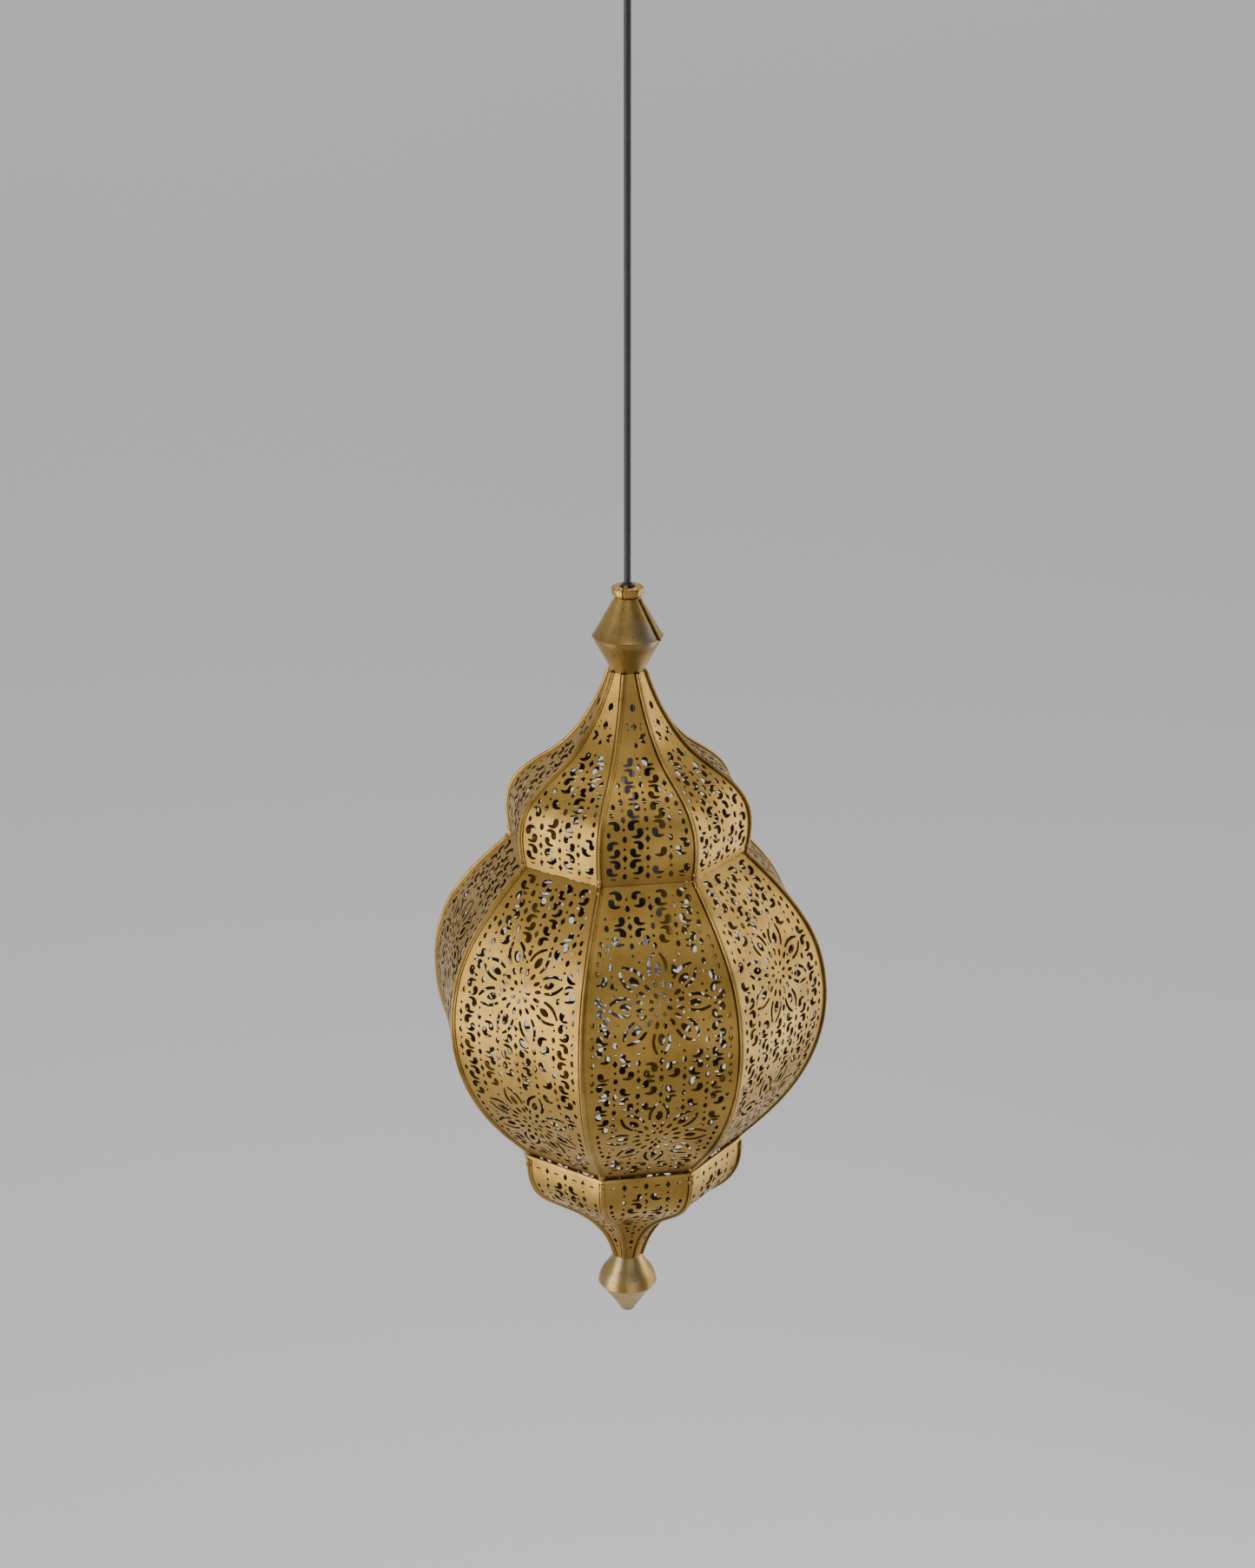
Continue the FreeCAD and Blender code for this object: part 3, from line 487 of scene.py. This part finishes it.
def dashes(pattern, y, columns):
    """Short level dashes above or below the comma pairs."""
    for column in range(-columns, columns):
        pattern.add(oval(2.1, 0.6, 10), (column + 0.5) * PITCH_ACROSS, y)


def punch_body(pattern):
    turn = 0.0 if pattern.index % 2 == 0 else math.pi / 8
    for down in ROSETTES_DOWN:
        rosette(pattern, 0.0, down, turn)
    lattice(pattern, int(pattern.length / PITCH_DOWN) + 1, 9.5, 3)
    edge_ovals(pattern, 20.0)


def punch_crown(pattern):
    pattern.add(oval(1.9, 2.9), 0, 22.5)
    pattern.add(diamond(2.1, 3.1), 0, 35.0)
    pattern.add(oval(1.3, 1.8), 0, 47.5)
    crescent_path = [(-1.0, -2.6), (0.7, -1.4), (0.8, 0.6), (-0.9, 2.3)]
    crescent = tapered_slot(crescent_path, [1.0, 1.25, 1.3, 0.8])
    for side in (-1, 1):
        pattern.add(oval(0.55, 0.55, 8), side * 4.4, 33.3)
        pattern.add(oval(0.55, 0.55, 8), side * 4.4, 36.9)
        pattern.add([(x * -side, y) for x, y in crescent], side * 5.3, 43.5)
    rows = 7
    last_row = pattern.length - 13.2
    lattice(pattern, rows, last_row - (rows - 1) * PITCH_DOWN, 2)
    dashes(pattern, pattern.length - 4.9, 2)
    edge_ovals(pattern, 60.0)


def punch_base(pattern):
    dashes(pattern, 4.6, 2)
    lattice(pattern, 8, 11.2, 2)
    pattern.add(oval(1.3, 2.3), 0, pattern.length - 24)
    pattern.add(oval(1.2, 2.2), 0, pattern.length - 15)
    edge_ovals(pattern, 20.0)


# ---- meshes ----------------------------------------------------------------------------

def new_object(name, vertices, faces, material, sharp=math.radians(35), painted_shade_material=None, painted_shade_faces=()):
    """A smooth-shaded object; the faces whose numbers are given take a second material, a darker
    copy that paints shade on them.
    """
    mesh = bpy.data.meshes.new(name)
    mesh.from_pydata([tuple(v) for v in vertices], [], faces)
    if painted_shade_material:
        chosen = np.zeros(len(mesh.polygons), np.int32)
        chosen[list(painted_shade_faces)] = 1
        mesh.polygons.foreach_set("material_index", chosen)
    mesh.validate()
    tidy = bmesh.new()
    tidy.from_mesh(mesh)
    bmesh.ops.recalc_face_normals(tidy, faces=tidy.faces)
    tidy.to_mesh(mesh)
    tidy.free()
    mesh.shade_smooth()
    mesh.set_sharp_from_angle(angle=sharp)
    mesh.materials.append(material)
    if painted_shade_material:
        mesh.materials.append(painted_shade_material)
    obj = bpy.data.objects.new(name, mesh)
    bpy.context.collection.objects.link(obj)
    return obj


def join_rows(faces, start, rows, count, ring=False):
    """Skins rows of count points, each row a closed loop: joined up as a ring, or capped."""
    for row in range(rows if ring else rows - 1):
        here = start + row * count
        onward = start + (row + 1) % rows * count
        for j in range(count):
            k = (j + 1) % count
            faces.append((here + j, here + k, onward + k, onward + j))
    if not ring:
        last = start + (rows - 1) * count
        faces.append(tuple(range(start, start + count)))
        faces.append(tuple(reversed(range(last, last + count))))


def place(obj, body, slot, *nodes):
    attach(obj, body)
    if nodes:
        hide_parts(*nodes)


# ---- pierced sheets --------------------------------------------------------------------

Tier = namedtuple("Tier", "name points ends punch margin seed rib_seed")

TIERS = (
    Tier("crown", CROWN, CROWN_ENDS, punch_crown, 1.4, 100, 55),
    Tier("body", BODY, BODY_ENDS, punch_body, 2.6, 200, 44),
    Tier("base", BASE, BASE_ENDS, punch_base, 1.6, 300, 44),
)

OUTER_STEP = 4.0       # millimetres between points on a sheet's border
GRID_DOWN = 5.0        # and between the rows and columns of points inside it
GRID_ACROSS = 8.0
GRID_INSET = 2.0
GRID_CLEAR = 1.2
DENT_DEPTH = 0.00028
DENTS_PER_METRE = 38
DENT_FADE = 5          # millimetres from an edge over which the dents die away


def inside_loop(points, loop):
    """Which points lie inside a closed loop, by crossings."""
    x, y = points[:, 0], points[:, 1]
    result = np.zeros(len(points), bool)
    ax, ay = loop[-1]
    for bx, by in loop:
        crossing = (ay > y) != (by > y)
        if crossing.any():
            where = (bx - ax) * (y - ay) / (by - ay if by != ay else 1e-12) + ax
            result ^= crossing & (x < where)
        ax, ay = bx, by
    return result


def reach(radius, clearance):
    """Half a flat side's width at a distance from the axis, short of its corner."""
    return radius * math.tan(HALF) - clearance / math.cos(HALF)


def sheet_border(pattern):
    """The flat sheet's border: right edge down, bottom, left edge up, top."""
    downs = np.linspace(0, pattern.length, int(pattern.length / OUTER_STEP) + 1)
    right = [(float(pattern.half_width(v)), v) for v in downs]
    left = [(-x, v) for x, v in reversed(right)]

    def level(start, v):
        count = int(2 * abs(start) / OUTER_STEP)
        return [(x, v) for x in np.linspace(start, -start, count + 2)[1:-1]]
    return right + level(right[-1][0], pattern.length) + left + level(-right[0][0], 0.0)


def grid_points(pattern, taken):
    """Points spread over the flat sheet, so that it can bend, clear of those taken."""
    taken = np.array(taken)
    found = []
    for v in np.arange(GRID_DOWN / 2, pattern.length - 1, GRID_DOWN):
        side = float(pattern.half_width(v)) - GRID_INSET
        step = 2 * side / max(1, round(2 * side / GRID_ACROSS))
        for u in np.arange(-side, side + 0.1, step):
            if np.hypot(taken[:, 0] - u, taken[:, 1] - v).min() > GRID_CLEAR:
                found.append((u, v))
    return found


def flat_sheet(pattern):
    """Points and triangles of the flat sheet, with its holes left open."""
    border = sheet_border(pattern)
    points, edges = [], []
    for loop in [border, *pattern.loops]:
        start = len(points)
        points += [tuple(p) for p in loop]
        edges += [(start + i, start + (i + 1) % len(loop)) for i in range(len(loop))]
    points += grid_points(pattern, points)
    result = delaunay_2d_cdt([Vector(p) for p in points], edges, [], 0, 1e-5)
    flat = np.array([tuple(p) for p in result[0]])
    triangles = np.array(result[2])
    centres = flat[triangles].mean(axis=1)
    keep = inside_loop(centres, border)
    for loop in pattern.loops:
        low, high = loop.min(axis=0), loop.max(axis=0)
        near = keep & (centres >= low).all(axis=1) & (centres <= high).all(axis=1)
        picked = np.flatnonzero(near)
        keep[picked[inside_loop(centres[picked], loop)]] = False
    return flat, triangles[keep]


def bent_sides(flat, outline, clearance, index, seed):
    """The sheet's outer and inner face in space, dented except near its edges."""
    u, v = flat[:, 0] * MM, flat[:, 1] * MM
    radius, z, normal_r, normal_z = outline.at(v)
    ripple = np.array([noise.noise(Vector((p * DENTS_PER_METRE + index * 7.3,
                                           q * DENTS_PER_METRE, seed * 0.37)))
                       for p, q in zip(u, v)])
    limit = reach(radius, clearance)
    from_edge = limit / MM - np.abs(flat[:, 0])
    dent = ripple * DENT_DEPTH * np.clip(from_edge / DENT_FADE, 0, 1)
    inner_radius = radius - SHEET * normal_r
    shrink = reach(inner_radius, clearance) / np.maximum(limit, 1e-6)
    outer = np.stack([u, -(radius + dent * normal_r), z + dent * normal_z + TOP], 1)
    inner = np.stack([u * shrink, -(inner_radius + dent * normal_r),
                      z + (dent - SHEET) * normal_z + TOP], 1)
    return outer, inner


def two_sided(triangles, count):
    """Faces of a sheet with two sides: the outer ones, the inner ones, then the cut edges."""
    faces = [tuple(t) for t in triangles]
    faces += [(a + count, c + count, b + count) for a, b, c in triangles]
    edges = dict.fromkeys(edge for a, b, c in triangles for edge in ((a, b), (b, c), (c, a)))
    faces += [(q, p, p + count, q + count) for p, q in edges if (q, p) not in edges]
    return faces


def sheet_mesh(name, tier, outline, clearance, index):
    """A pierced sheet: punched flat, triangulated, bent to the outline and given thickness."""
    seed = tier.seed + index

    def half_width(v):
        return reach(outline.at(np.asarray(v) * MM)[0], clearance) / MM

    pattern = Pattern(half_width, outline.length / MM, tier.margin, index, seed)
    tier.punch(pattern)
    flat, triangles = flat_sheet(pattern)
    outer, inner = bent_sides(flat, outline, clearance, index, seed)
    used = np.unique(triangles)
    number = np.full(len(flat), -1)
    number[used] = np.arange(len(used))
    triangles = number[triangles].tolist()
    c, s = math.cos(SECTOR * index), math.sin(SECTOR * index)
    turned = np.array([[c, s, 0], [-s, c, 0], [0, 0, 1]])
    vertices = np.vstack([outer[used], inner[used]]) @ turned
    faces = two_sided(triangles, len(used))
    # The inner faces take the darker gold: painted shade on the inside of the lantern, seen through
    # the holes.
    shaded_inner_faces = range(len(triangles), len(faces))
    return new_object(name, vertices, faces, GOLD, painted_shade_material=PAINTED_SHADE_GOLD, painted_shade_faces=shaded_inner_faces)


def build_sheets():
    """Eight sheets per tier, numbered from the front round to the right; the body has a door."""
    for tier in TIERS:
        outline = Outline(tier.points, tier.ends, math.cos(HALF), TIER_GAP)
        number = 0
        for i in range(SIDES):
            if tier.name == "body" and i == SIDES // 2:
                door = sheet_mesh("pierced_door", tier, outline, DOOR_SEAM, i)
                place(door, "door", "antique_gold", "body_door")
                continue
            number += 1
            sheet = sheet_mesh(f"pierced_{tier.name}_sheet_{number}", tier, outline, SEAM, i)
            place(sheet, "lantern", "antique_gold", f"{tier.name}_panel_{number}")


build_sheets()


# ---- ribs and solder -------------------------------------------------------------------

# Across and above the corner line, in millimetres: two flanges with a bead between them.
RIB_SECTION = [(-2.2, -1.1), (-2.2, -0.45), (-1.35, -0.5), (-1.2, 0.8), (-0.7, 1.4), (0.0, 1.62),
               (0.7, 1.4), (1.15, 0.85), (1.3, 0.2), (1.75, 0.3), (2.2, 0.05), (2.2, -1.1)]

# Folded lips behind the edges of the body's sheets, which also stop the door.
LIPS = [(2.2, -2.2), (6.3, -3.9), (6.3, -4.5), (0.0, -2.1), (-6.3, -4.5), (-6.3, -3.9), (-2.2, -2.2)]
LIPPED_SECTION = RIB_SECTION[1:-1] + LIPS
GROOVE = RIB_SECTION[1:3]    # where the facets of the groove beside the bead start; painted shade darkens them

RIB_STEP = 0.003
RIB_WAVER = 0.00018
RIB_UNEVEN = 0.07
JOINT_INSET = 0.0045         # from a rib's end to the solder there
LEAST_SOLDER_RADIUS = 0.02   # nearer the axis than this, the ribs have no solder


def corner_directions(corner):
    """Outward from the axis at a corner, and sideways."""
    out = Vector((math.sin(corner), -math.cos(corner), 0))
    side = Vector((math.cos(corner), math.sin(corner), 0))
    return out, side


def rib_geometry(outline, ends, section, corner, seed, vertices, faces, shaded_groove_faces):
    """One folded rib along a corner, cut level at both ends."""
    steps = int(outline.length / RIB_STEP)
    width = len(section)
    start, first_face = len(vertices), len(faces)
    out, side = corner_directions(corner)
    for k in range(steps + 1):
        v = outline.length * k / steps
        r, z, normal_r, normal_z = outline.point(v)
        wave = noise.noise(Vector((v * 45, seed, 0))) * RIB_WAVER
        for across, high in section:
            push = high * MM * (1 + RIB_UNEVEN * noise.noise(Vector((v * 130, across, seed))))
            point = out * (r + push * normal_r) + side * (across * MM + wave)
            point.z = TOP + min(max(z + push * normal_z, ends[1]), ends[0])
            vertices.append(point)
    join_rows(faces, start, steps + 1, width)
    # The groove's facets are gathered to take painted shade.
    for j, corner_point in enumerate(section):
        if corner_point in GROOVE:
            shaded_groove_faces.update(first_face + k * width + j for k in range(steps))


def blob(vertices, faces, centre, size, seed):
    """A small uneven lump of solder."""
    lump = bmesh.new()
    bmesh.ops.create_icosphere(lump, subdivisions=2, radius=1.0)
    start = len(vertices)
    for vertex in lump.verts:
        d = vertex.co.normalized()
        swell = 1 + 0.28 * noise.noise(d * 1.7 + Vector((seed, 0, 0)))
        vertices.append(centre + Vector((d.x * size, d.y * size, d.z * size * 1.2)) * swell)
    lump.verts.index_update()
    for face in lump.faces:
        faces.append(tuple(start + v.index for v in face.verts))
    lump.free()


def solder(outline, corner, draw, index, vertices, faces):
    """Solder on a rib: one lump by each end and two small ones between them."""
    out, _ = corner_directions(corner)
    spots = [JOINT_INSET, outline.length - JOINT_INSET]
    spots += [outline.length * draw.uniform(0.2, 0.8) for _ in range(2)]
    for k, v in enumerate(spots):
        r, z, _, _ = outline.point(v)
        if r < LEAST_SOLDER_RADIUS:
            continue
        centre = out * (r + 0.0002)
        centre.z = TOP + z
        size = draw.uniform(0.0017, 0.0023) if k < 2 else draw.uniform(0.0009, 0.0014)
        blob(vertices, faces, centre, size, index + 10 * k)


def build_ribs():
    draw = random.Random(41)
    for tier in TIERS:
        outline = Outline(tier.points, tier.ends, 1.0, 0.0)
        section = LIPPED_SECTION if tier.name == "body" else RIB_SECTION
        vertices, faces, shaded_groove_faces = [], [], set()
        for i in range(SIDES):
            corner = SECTOR * (i + 0.5)
            rib_geometry(outline, tier.ends, section, corner, i + tier.rib_seed, vertices, faces,
                         shaded_groove_faces)
            solder(outline, corner, draw, i, vertices, faces)
        # The groove facets take the darker gold, painted shade beside each bead.
        ribs = new_object(f"folded_{tier.name}_ribs", vertices, faces, RIB_GOLD,
                          sharp=math.radians(50), painted_shade_material=PAINTED_SHADE_GOLD, painted_shade_faces=shaded_groove_faces)
        place(ribs, "lantern", "antique_gold", f"{tier.name}_ribs")


build_ribs()


# ---- hoop ------------------------------------------------------------------------------

HOOP_DEPTH = 0.0029
WIRE_OVERLAP = 0.5      # radians by which the wire's round runs past its outer side
WIRE_STEPS = 8


def build_hoop():
    """Eight-sided hoop on the base: a round bright wire on a flat strip."""
    low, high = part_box("base_hoop")
    apothem = high[1]
    height = high[2] - low[2]
    wire = height * 0.55
    section = [(0, 0.0), (0, height * 0.45)]
    for k in range(WIRE_STEPS + 1):
        angle = -WIRE_OVERLAP + (math.pi + WIRE_OVERLAP) * k / WIRE_STEPS
        section.append((-wire * 0.5 + wire * 0.5 * math.cos(angle),
                        height * 0.72 + wire * 0.5 * math.sin(angle)))
    section += [(-HOOP_DEPTH, height * 0.5), (-HOOP_DEPTH, 0.0)]
    vertices, faces = [], []
    for i in range(SIDES):
        corner = SECTOR * (i + 0.5)
        for inward, rise in section:
            radius = (apothem + inward) / math.cos(HALF)
            vertices.append(Vector((math.sin(corner) * radius, -math.cos(corner) * radius,
                                    low[2] + rise)))
    join_rows(faces, 0, SIDES, len(section), ring=True)
    place(new_object("wire_hoop", vertices, faces, RIB_GOLD), "lantern", "antique_gold", "base_hoop")


build_hoop()


# ---- finials ---------------------------------------------------------------------------

TURNED_SEGMENTS = 120
TURNED_UNEVEN = 0.0035
FINIAL_WALL = 0.0009
CONE_STEPS = 8
CONE_TOP_RADIUS = 0.0086
NECK_RADIUS = 0.0115
NECK_RIM = 0.0012       # straight rim of the lower cone, above its taper
TIP_RADIUS = 0.0056
TIP_HEIGHT = 0.0018


def extent(node):
    """A round node's greatest radius, its top and its bottom."""
    low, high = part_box(node)
    return high[0], high[2], low[2]


def turned_sheet(name, line, seed, node):
    """A spun cone: a line of (radius, height) points with a wall behind it, slightly untrue."""
    profile = line + [(max(r - FINIAL_WALL, 0.0002), z) for r, z in reversed(line)]
    vertices, faces = [], []
    for i in range(TURNED_SEGMENTS):
        out, _ = corner_directions(2 * math.pi * i / TURNED_SEGMENTS)
        for r, z in profile:
            lump = noise.noise(Vector((out.x * 2.2, out.y * 2.2, z * 60 + seed)))
            point = out * (r * (1 - TURNED_UNEVEN - TURNED_UNEVEN * lump))
            point.z = z
            vertices.append(point)
    join_rows(faces, 0, TURNED_SEGMENTS, len(profile), ring=True)
    place(new_object(name, vertices, faces, DULL_GOLD), "lantern", "dark_gold", node)


def build_upper_cone():
    """Straight cone from the collar down to a lip that overhangs the lower one."""
    waist, top, bottom = extent("top_finial_upper")
    line = [(CONE_TOP_RADIUS + (waist - CONE_TOP_RADIUS) * (k / CONE_STEPS),
             top + (bottom - top) * k / CONE_STEPS) for k in range(CONE_STEPS)]
    line += [(waist - 0.0006, bottom + 0.0013), (waist, bottom + 0.0007), (waist - 0.0004, bottom)]
    turned_sheet("finial_cone_upper", line, 3, "top_finial_upper")


def build_lower_cone():
    """Slightly bowed cone from its rim down to the crown's neck."""
    waist, top, bottom = extent("top_finial_lower")
    line = [(waist, top), (waist - 0.0003, top - NECK_RIM)]
    line += [(NECK_RADIUS + (waist - NECK_RADIUS) * (1 - k / CONE_STEPS) ** 1.08,
              top - NECK_RIM + (bottom - top + NECK_RIM) * k / CONE_STEPS)
             for k in range(1, CONE_STEPS + 1)]
    turned_sheet("finial_cone_lower", line, 7, "top_finial_lower")


def build_flare():
    """Curved flare from under the base out to the widest line of the foot."""
    waist, top, bottom = extent("bottom_finial_upper")
    route = [(0.0098, top), (0.0142, top - 0.008), (0.0196, top - 0.016), (waist, bottom + 0.0006)]
    line = [tuple(p) for p in cubic_through(route, 12)] + [(waist - 0.0004, bottom)]
    turned_sheet("foot_cone_upper", line, 11, "bottom_finial_upper")


def build_foot():
    """Closed cone that ends in a blunt round tip."""
    waist, top, bottom = extent("bottom_finial_lower")
    line = [(waist, top)]
    line += [(waist + (TIP_RADIUS - waist) * (k / CONE_STEPS) ** 0.94,
              top + (bottom + TIP_HEIGHT - top) * k / CONE_STEPS) for k in range(1, CONE_STEPS + 1)]
    line += [(TIP_RADIUS - 0.0004, bottom + 0.0007), (TIP_RADIUS - 0.0014, bottom + 0.0001),
             (0.0008, bottom)]
    turned_sheet("foot_cone_lower", line, 17, "bottom_finial_lower")


build_upper_cone()
build_lower_cone()
build_flare()
build_foot()


# ---- seam and collar -------------------------------------------------------------------

# Across and above the cone, in millimetres; its first two facets carry painted shade on one side of
# the bead.
SEAM_SECTION = [(-1.25, -0.3), (-1.3, 0.5), (-0.95, 1.3), (-0.2, 1.75), (0.5, 1.6), (0.95, 0.9),
                (1.0, -0.3)]
SEAM_STEPS = 24


def build_seam():
    """The lap seam of the upper cone, rolled into a bead that stands up from it."""
    waist, top, bottom = extent("top_finial_upper")
    box_low, box_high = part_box("top_finial_seam")
    angle = math.atan2((box_low[1] + box_high[1]) / 2, (box_low[0] + box_high[0]) / 2)
    out = Vector((math.cos(angle), math.sin(angle), 0))
    side = Vector((-math.sin(angle), math.cos(angle), 0))
    vertices, faces = [], []
    for k in range(SEAM_STEPS + 1):
        f = k / SEAM_STEPS
        radius = CONE_TOP_RADIUS + (waist - CONE_TOP_RADIUS) * f
        z = top - 0.0004 + (bottom - top + 0.0006) * f
        for across, rise in SEAM_SECTION:
            lump = 1 + 0.14 * noise.noise(Vector((k * 0.45, across, 5)))
            point = out * (radius + rise * MM * lump) + side * across * MM
            point.z = z
            vertices.append(point)
    count = len(SEAM_SECTION)
    join_rows(faces, 0, SEAM_STEPS + 1, count)
    # The first two facets take the darker gold: painted shade.
    shaded_seam_side = [k * count + j for k in range(SEAM_STEPS) for j in (0, 1)]
    seam = new_object("rolled_seam", vertices, faces, RIB_GOLD, sharp=math.radians(60),
                      painted_shade_material=PAINTED_SHADE_GOLD, painted_shade_faces=shaded_seam_side)
    place(seam, "lantern", "dark_gold", "top_finial_seam")


build_seam()

COLLAR_SPLIT = math.radians(-28)
SPLIT_HALF = 0.05           # radians
COLLAR_SEGMENTS = 96
COLLAR_DENT = 0.0006
COLLAR_RISE = 0.0004        # the highest that a dent lifts the rolled top
TOP_POINTS = 5              # of the profile, the points that belong to the rolled top
COLLAR_PROFILE = [(0.00515, 0.0), (0.0078, 0.0004), (0.0097, 0.0001), (0.0106, -0.0008),
                  (0.01075, -0.0020), (0.01035, -0.0032), (0.0105, -0.0044), (0.0099, -0.0058),
                  (0.0088, -0.0071), (0.00515, -0.0071)]

# The tab's rows from the bottom up: distance from the axis, height and half width in mm.
TAB_ROWS = [(0.0092, -0.0048, 1.15), (0.0094, -0.0016, 1.15), (0.0091, 0.0012, 1.1),
            (0.0083, 0.0026, 0.9)]
TAB_FROM_SPLIT = 0.19


def collar_ring(vertices, faces):
    """The dented ring, open at its split; its bore stays round."""
    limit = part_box("top_collar")[1][0]
    count = len(COLLAR_PROFILE)
    for i in range(COLLAR_SEGMENTS + 1):
        angle = COLLAR_SPLIT + SPLIT_HALF + (2 * math.pi - 2 * SPLIT_HALF) * i / COLLAR_SEGMENTS
        out, _ = corner_directions(angle)
        for k, (r, z) in enumerate(COLLAR_PROFILE):
            dent = COLLAR_DENT * noise.noise(Vector((out.x * 2.6, out.y * 2.6, z * 240)))
            outward = dent if 0 < k < count - 1 else 0.0
            point = out * min(r + outward, limit)
            point.z = TOP + (min(z + dent * 0.7, COLLAR_RISE) if k < TOP_POINTS else z)
            vertices.append(point)
    join_rows(faces, 0, COLLAR_SEGMENTS + 1, count)


def collar_tab(vertices, faces):
    """The tab bent up beside the split, a little rounded on its outer side."""
    out, side = corner_directions(COLLAR_SPLIT + TAB_FROM_SPLIT)
    start = len(vertices)
    for radius, rise, half in TAB_ROWS:
        row = ((-half, -1.0), (-half, 0.9), (0.0, 1.25), (half, 0.9), (half, -1.0))
        for across, depth in row:
            point = out * (radius + depth * MM) + side * across * MM
            point.z = TOP + rise
            vertices.append(point)
    join_rows(faces, start, len(TAB_ROWS), len(row))


def build_collar():
    """Cast collar with a rolled top, split at the front, and its tab."""
    vertices, faces = [], []
    collar_ring(vertices, faces)
    collar_tab(vertices, faces)
    collar = new_object("cast_collar", vertices, faces, RIB_GOLD, sharp=math.radians(55))
    place(collar, "lantern", "dark_gold", "top_collar")


build_collar()


# ---- cord ------------------------------------------------------------------------------

def build_cord():
    """The taut cord: straight from the strain relief into the collar's bush."""
    relief_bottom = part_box("strain_relief")[0][2]
    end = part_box("pendant_cord")[0][2]
    start = relief_bottom - 0.0004
    curve = bpy.data.curves.new("pendant_flex", "CURVE")
    curve.dimensions = "3D"
    spline = curve.splines.new("NURBS")
    heights = [start, start - 0.03, start - 0.12, start - 0.22, end + 0.03, end]
    spline.points.add(len(heights) - 1)
    for point, z in zip(spline.points, heights):
        point.co = (0, 0, z, 1)
    spline.order_u = 3
    spline.use_endpoint_u = True
    curve.bevel_depth = CORD_DIAMETER / 2
    curve.bevel_resolution = 6
    curve.use_fill_caps = True
    curve.materials.append(CORD_SHEATH)
    cord = bpy.data.objects.new("pendant_flex", curve)
    bpy.context.collection.objects.link(cord)
    place(cord, "cord", "cord_sheath", "pendant_cord")


build_cord()


# ---- studio ----------------------------------------------------------------------------

SWEEP_BELOW = 1.9       # from the collar's top down to the floor
SWEEP_WALL = 6.0        # from the lantern back to the wall
SWEEP_BEND = 2.0
SWEEP_REACH = 14.0
SWEEP_HEIGHT = 12
BEND_STEPS = 12
LANTERN_MIDDLE = (0, 0, TOP - 0.28)

# Lights: place (right, back, above the collar's top), size and power.
LIGHTS = {
    "left_box": ((-1.85, -0.55, -0.35), (1.1, 2.6), 34),
    "right_box": ((1.85, 0.35, -0.35), (1.1, 2.6), 22),
    "top_box": ((0.0, 0.6, 1.9), (1.6, 1.6), 22),
    "front_fill": ((0.3, -2.4, -0.2), (2.0, 2.6), 11),
    "front_top": ((-0.2, -1.3, 1.9), (1.4, 1.2), 7),
}


def build_sweep():
    """Backdrop: a floor that bends up into a wall behind the lantern."""
    floor_z = TOP - SWEEP_BELOW
    line = [(-SWEEP_REACH, floor_z), (SWEEP_WALL - SWEEP_BEND, floor_z)]
    for k in range(1, BEND_STEPS + 1):
        angle = math.pi / 2 * k / BEND_STEPS
        line.append((SWEEP_WALL - SWEEP_BEND + SWEEP_BEND * math.sin(angle),
                     floor_z + SWEEP_BEND * (1 - math.cos(angle))))
    line.append((SWEEP_WALL, floor_z + SWEEP_HEIGHT))
    vertices = [(x, y, z) for y, z in line for x in (-SWEEP_REACH, SWEEP_REACH)]
    faces = [(2 * k, 2 * k + 1, 2 * k + 3, 2 * k + 2) for k in range(len(line) - 1)]
    sweep = new_object("studio_sweep", vertices, faces, sweep_surface())
    sweep.visible_diffuse = False
    sweep.visible_glossy = False
    sweep.visible_shadow = False


def area_light(name, location, size, power):
    data = bpy.data.lights.new(name, "AREA")
    data.shape = "RECTANGLE"
    data.size, data.size_y = size
    data.energy = power
    light = bpy.data.objects.new(name, data)
    bpy.context.collection.objects.link(light)
    light.location = location
    aim = Vector(LANTERN_MIDDLE) - Vector(location)
    light.rotation_euler = aim.to_track_quat("-Z", "Y").to_euler()


def studio_air():
    """Air light: dim in front of the lantern, brighter behind it and from below."""
    world = bpy.data.worlds.new("studio_air")
    world.use_nodes = True
    nodes, links = world.node_tree.nodes, world.node_tree.links
    direction = nodes.new("ShaderNodeTexCoord").outputs["Generated"]
    split = nodes.new("ShaderNodeSeparateXYZ")
    links.new(direction, split.inputs["Vector"])
    behind = range_node(nodes, links, split.outputs["Y"], 0.2, 0.62, -0.5, 0.85)
    below = range_node(nodes, links, split.outputs["Z"], 0.38, 0.0, -0.9, -0.1)
    total = nodes.new("ShaderNodeMath")
    total.operation = "ADD"
    links.new(behind, total.inputs[0])
    links.new(below, total.inputs[1])
    background = nodes["Background"]
    background.inputs["Color"].default_value = (1, 1, 1, 1)
    links.new(total.outputs[0], background.inputs["Strength"])
    bpy.context.scene.world = world


build_sweep()
for light_name, ((right, back, above), size, power) in LIGHTS.items():
    area_light(light_name, (right, back, TOP + above), size, power)
studio_air()
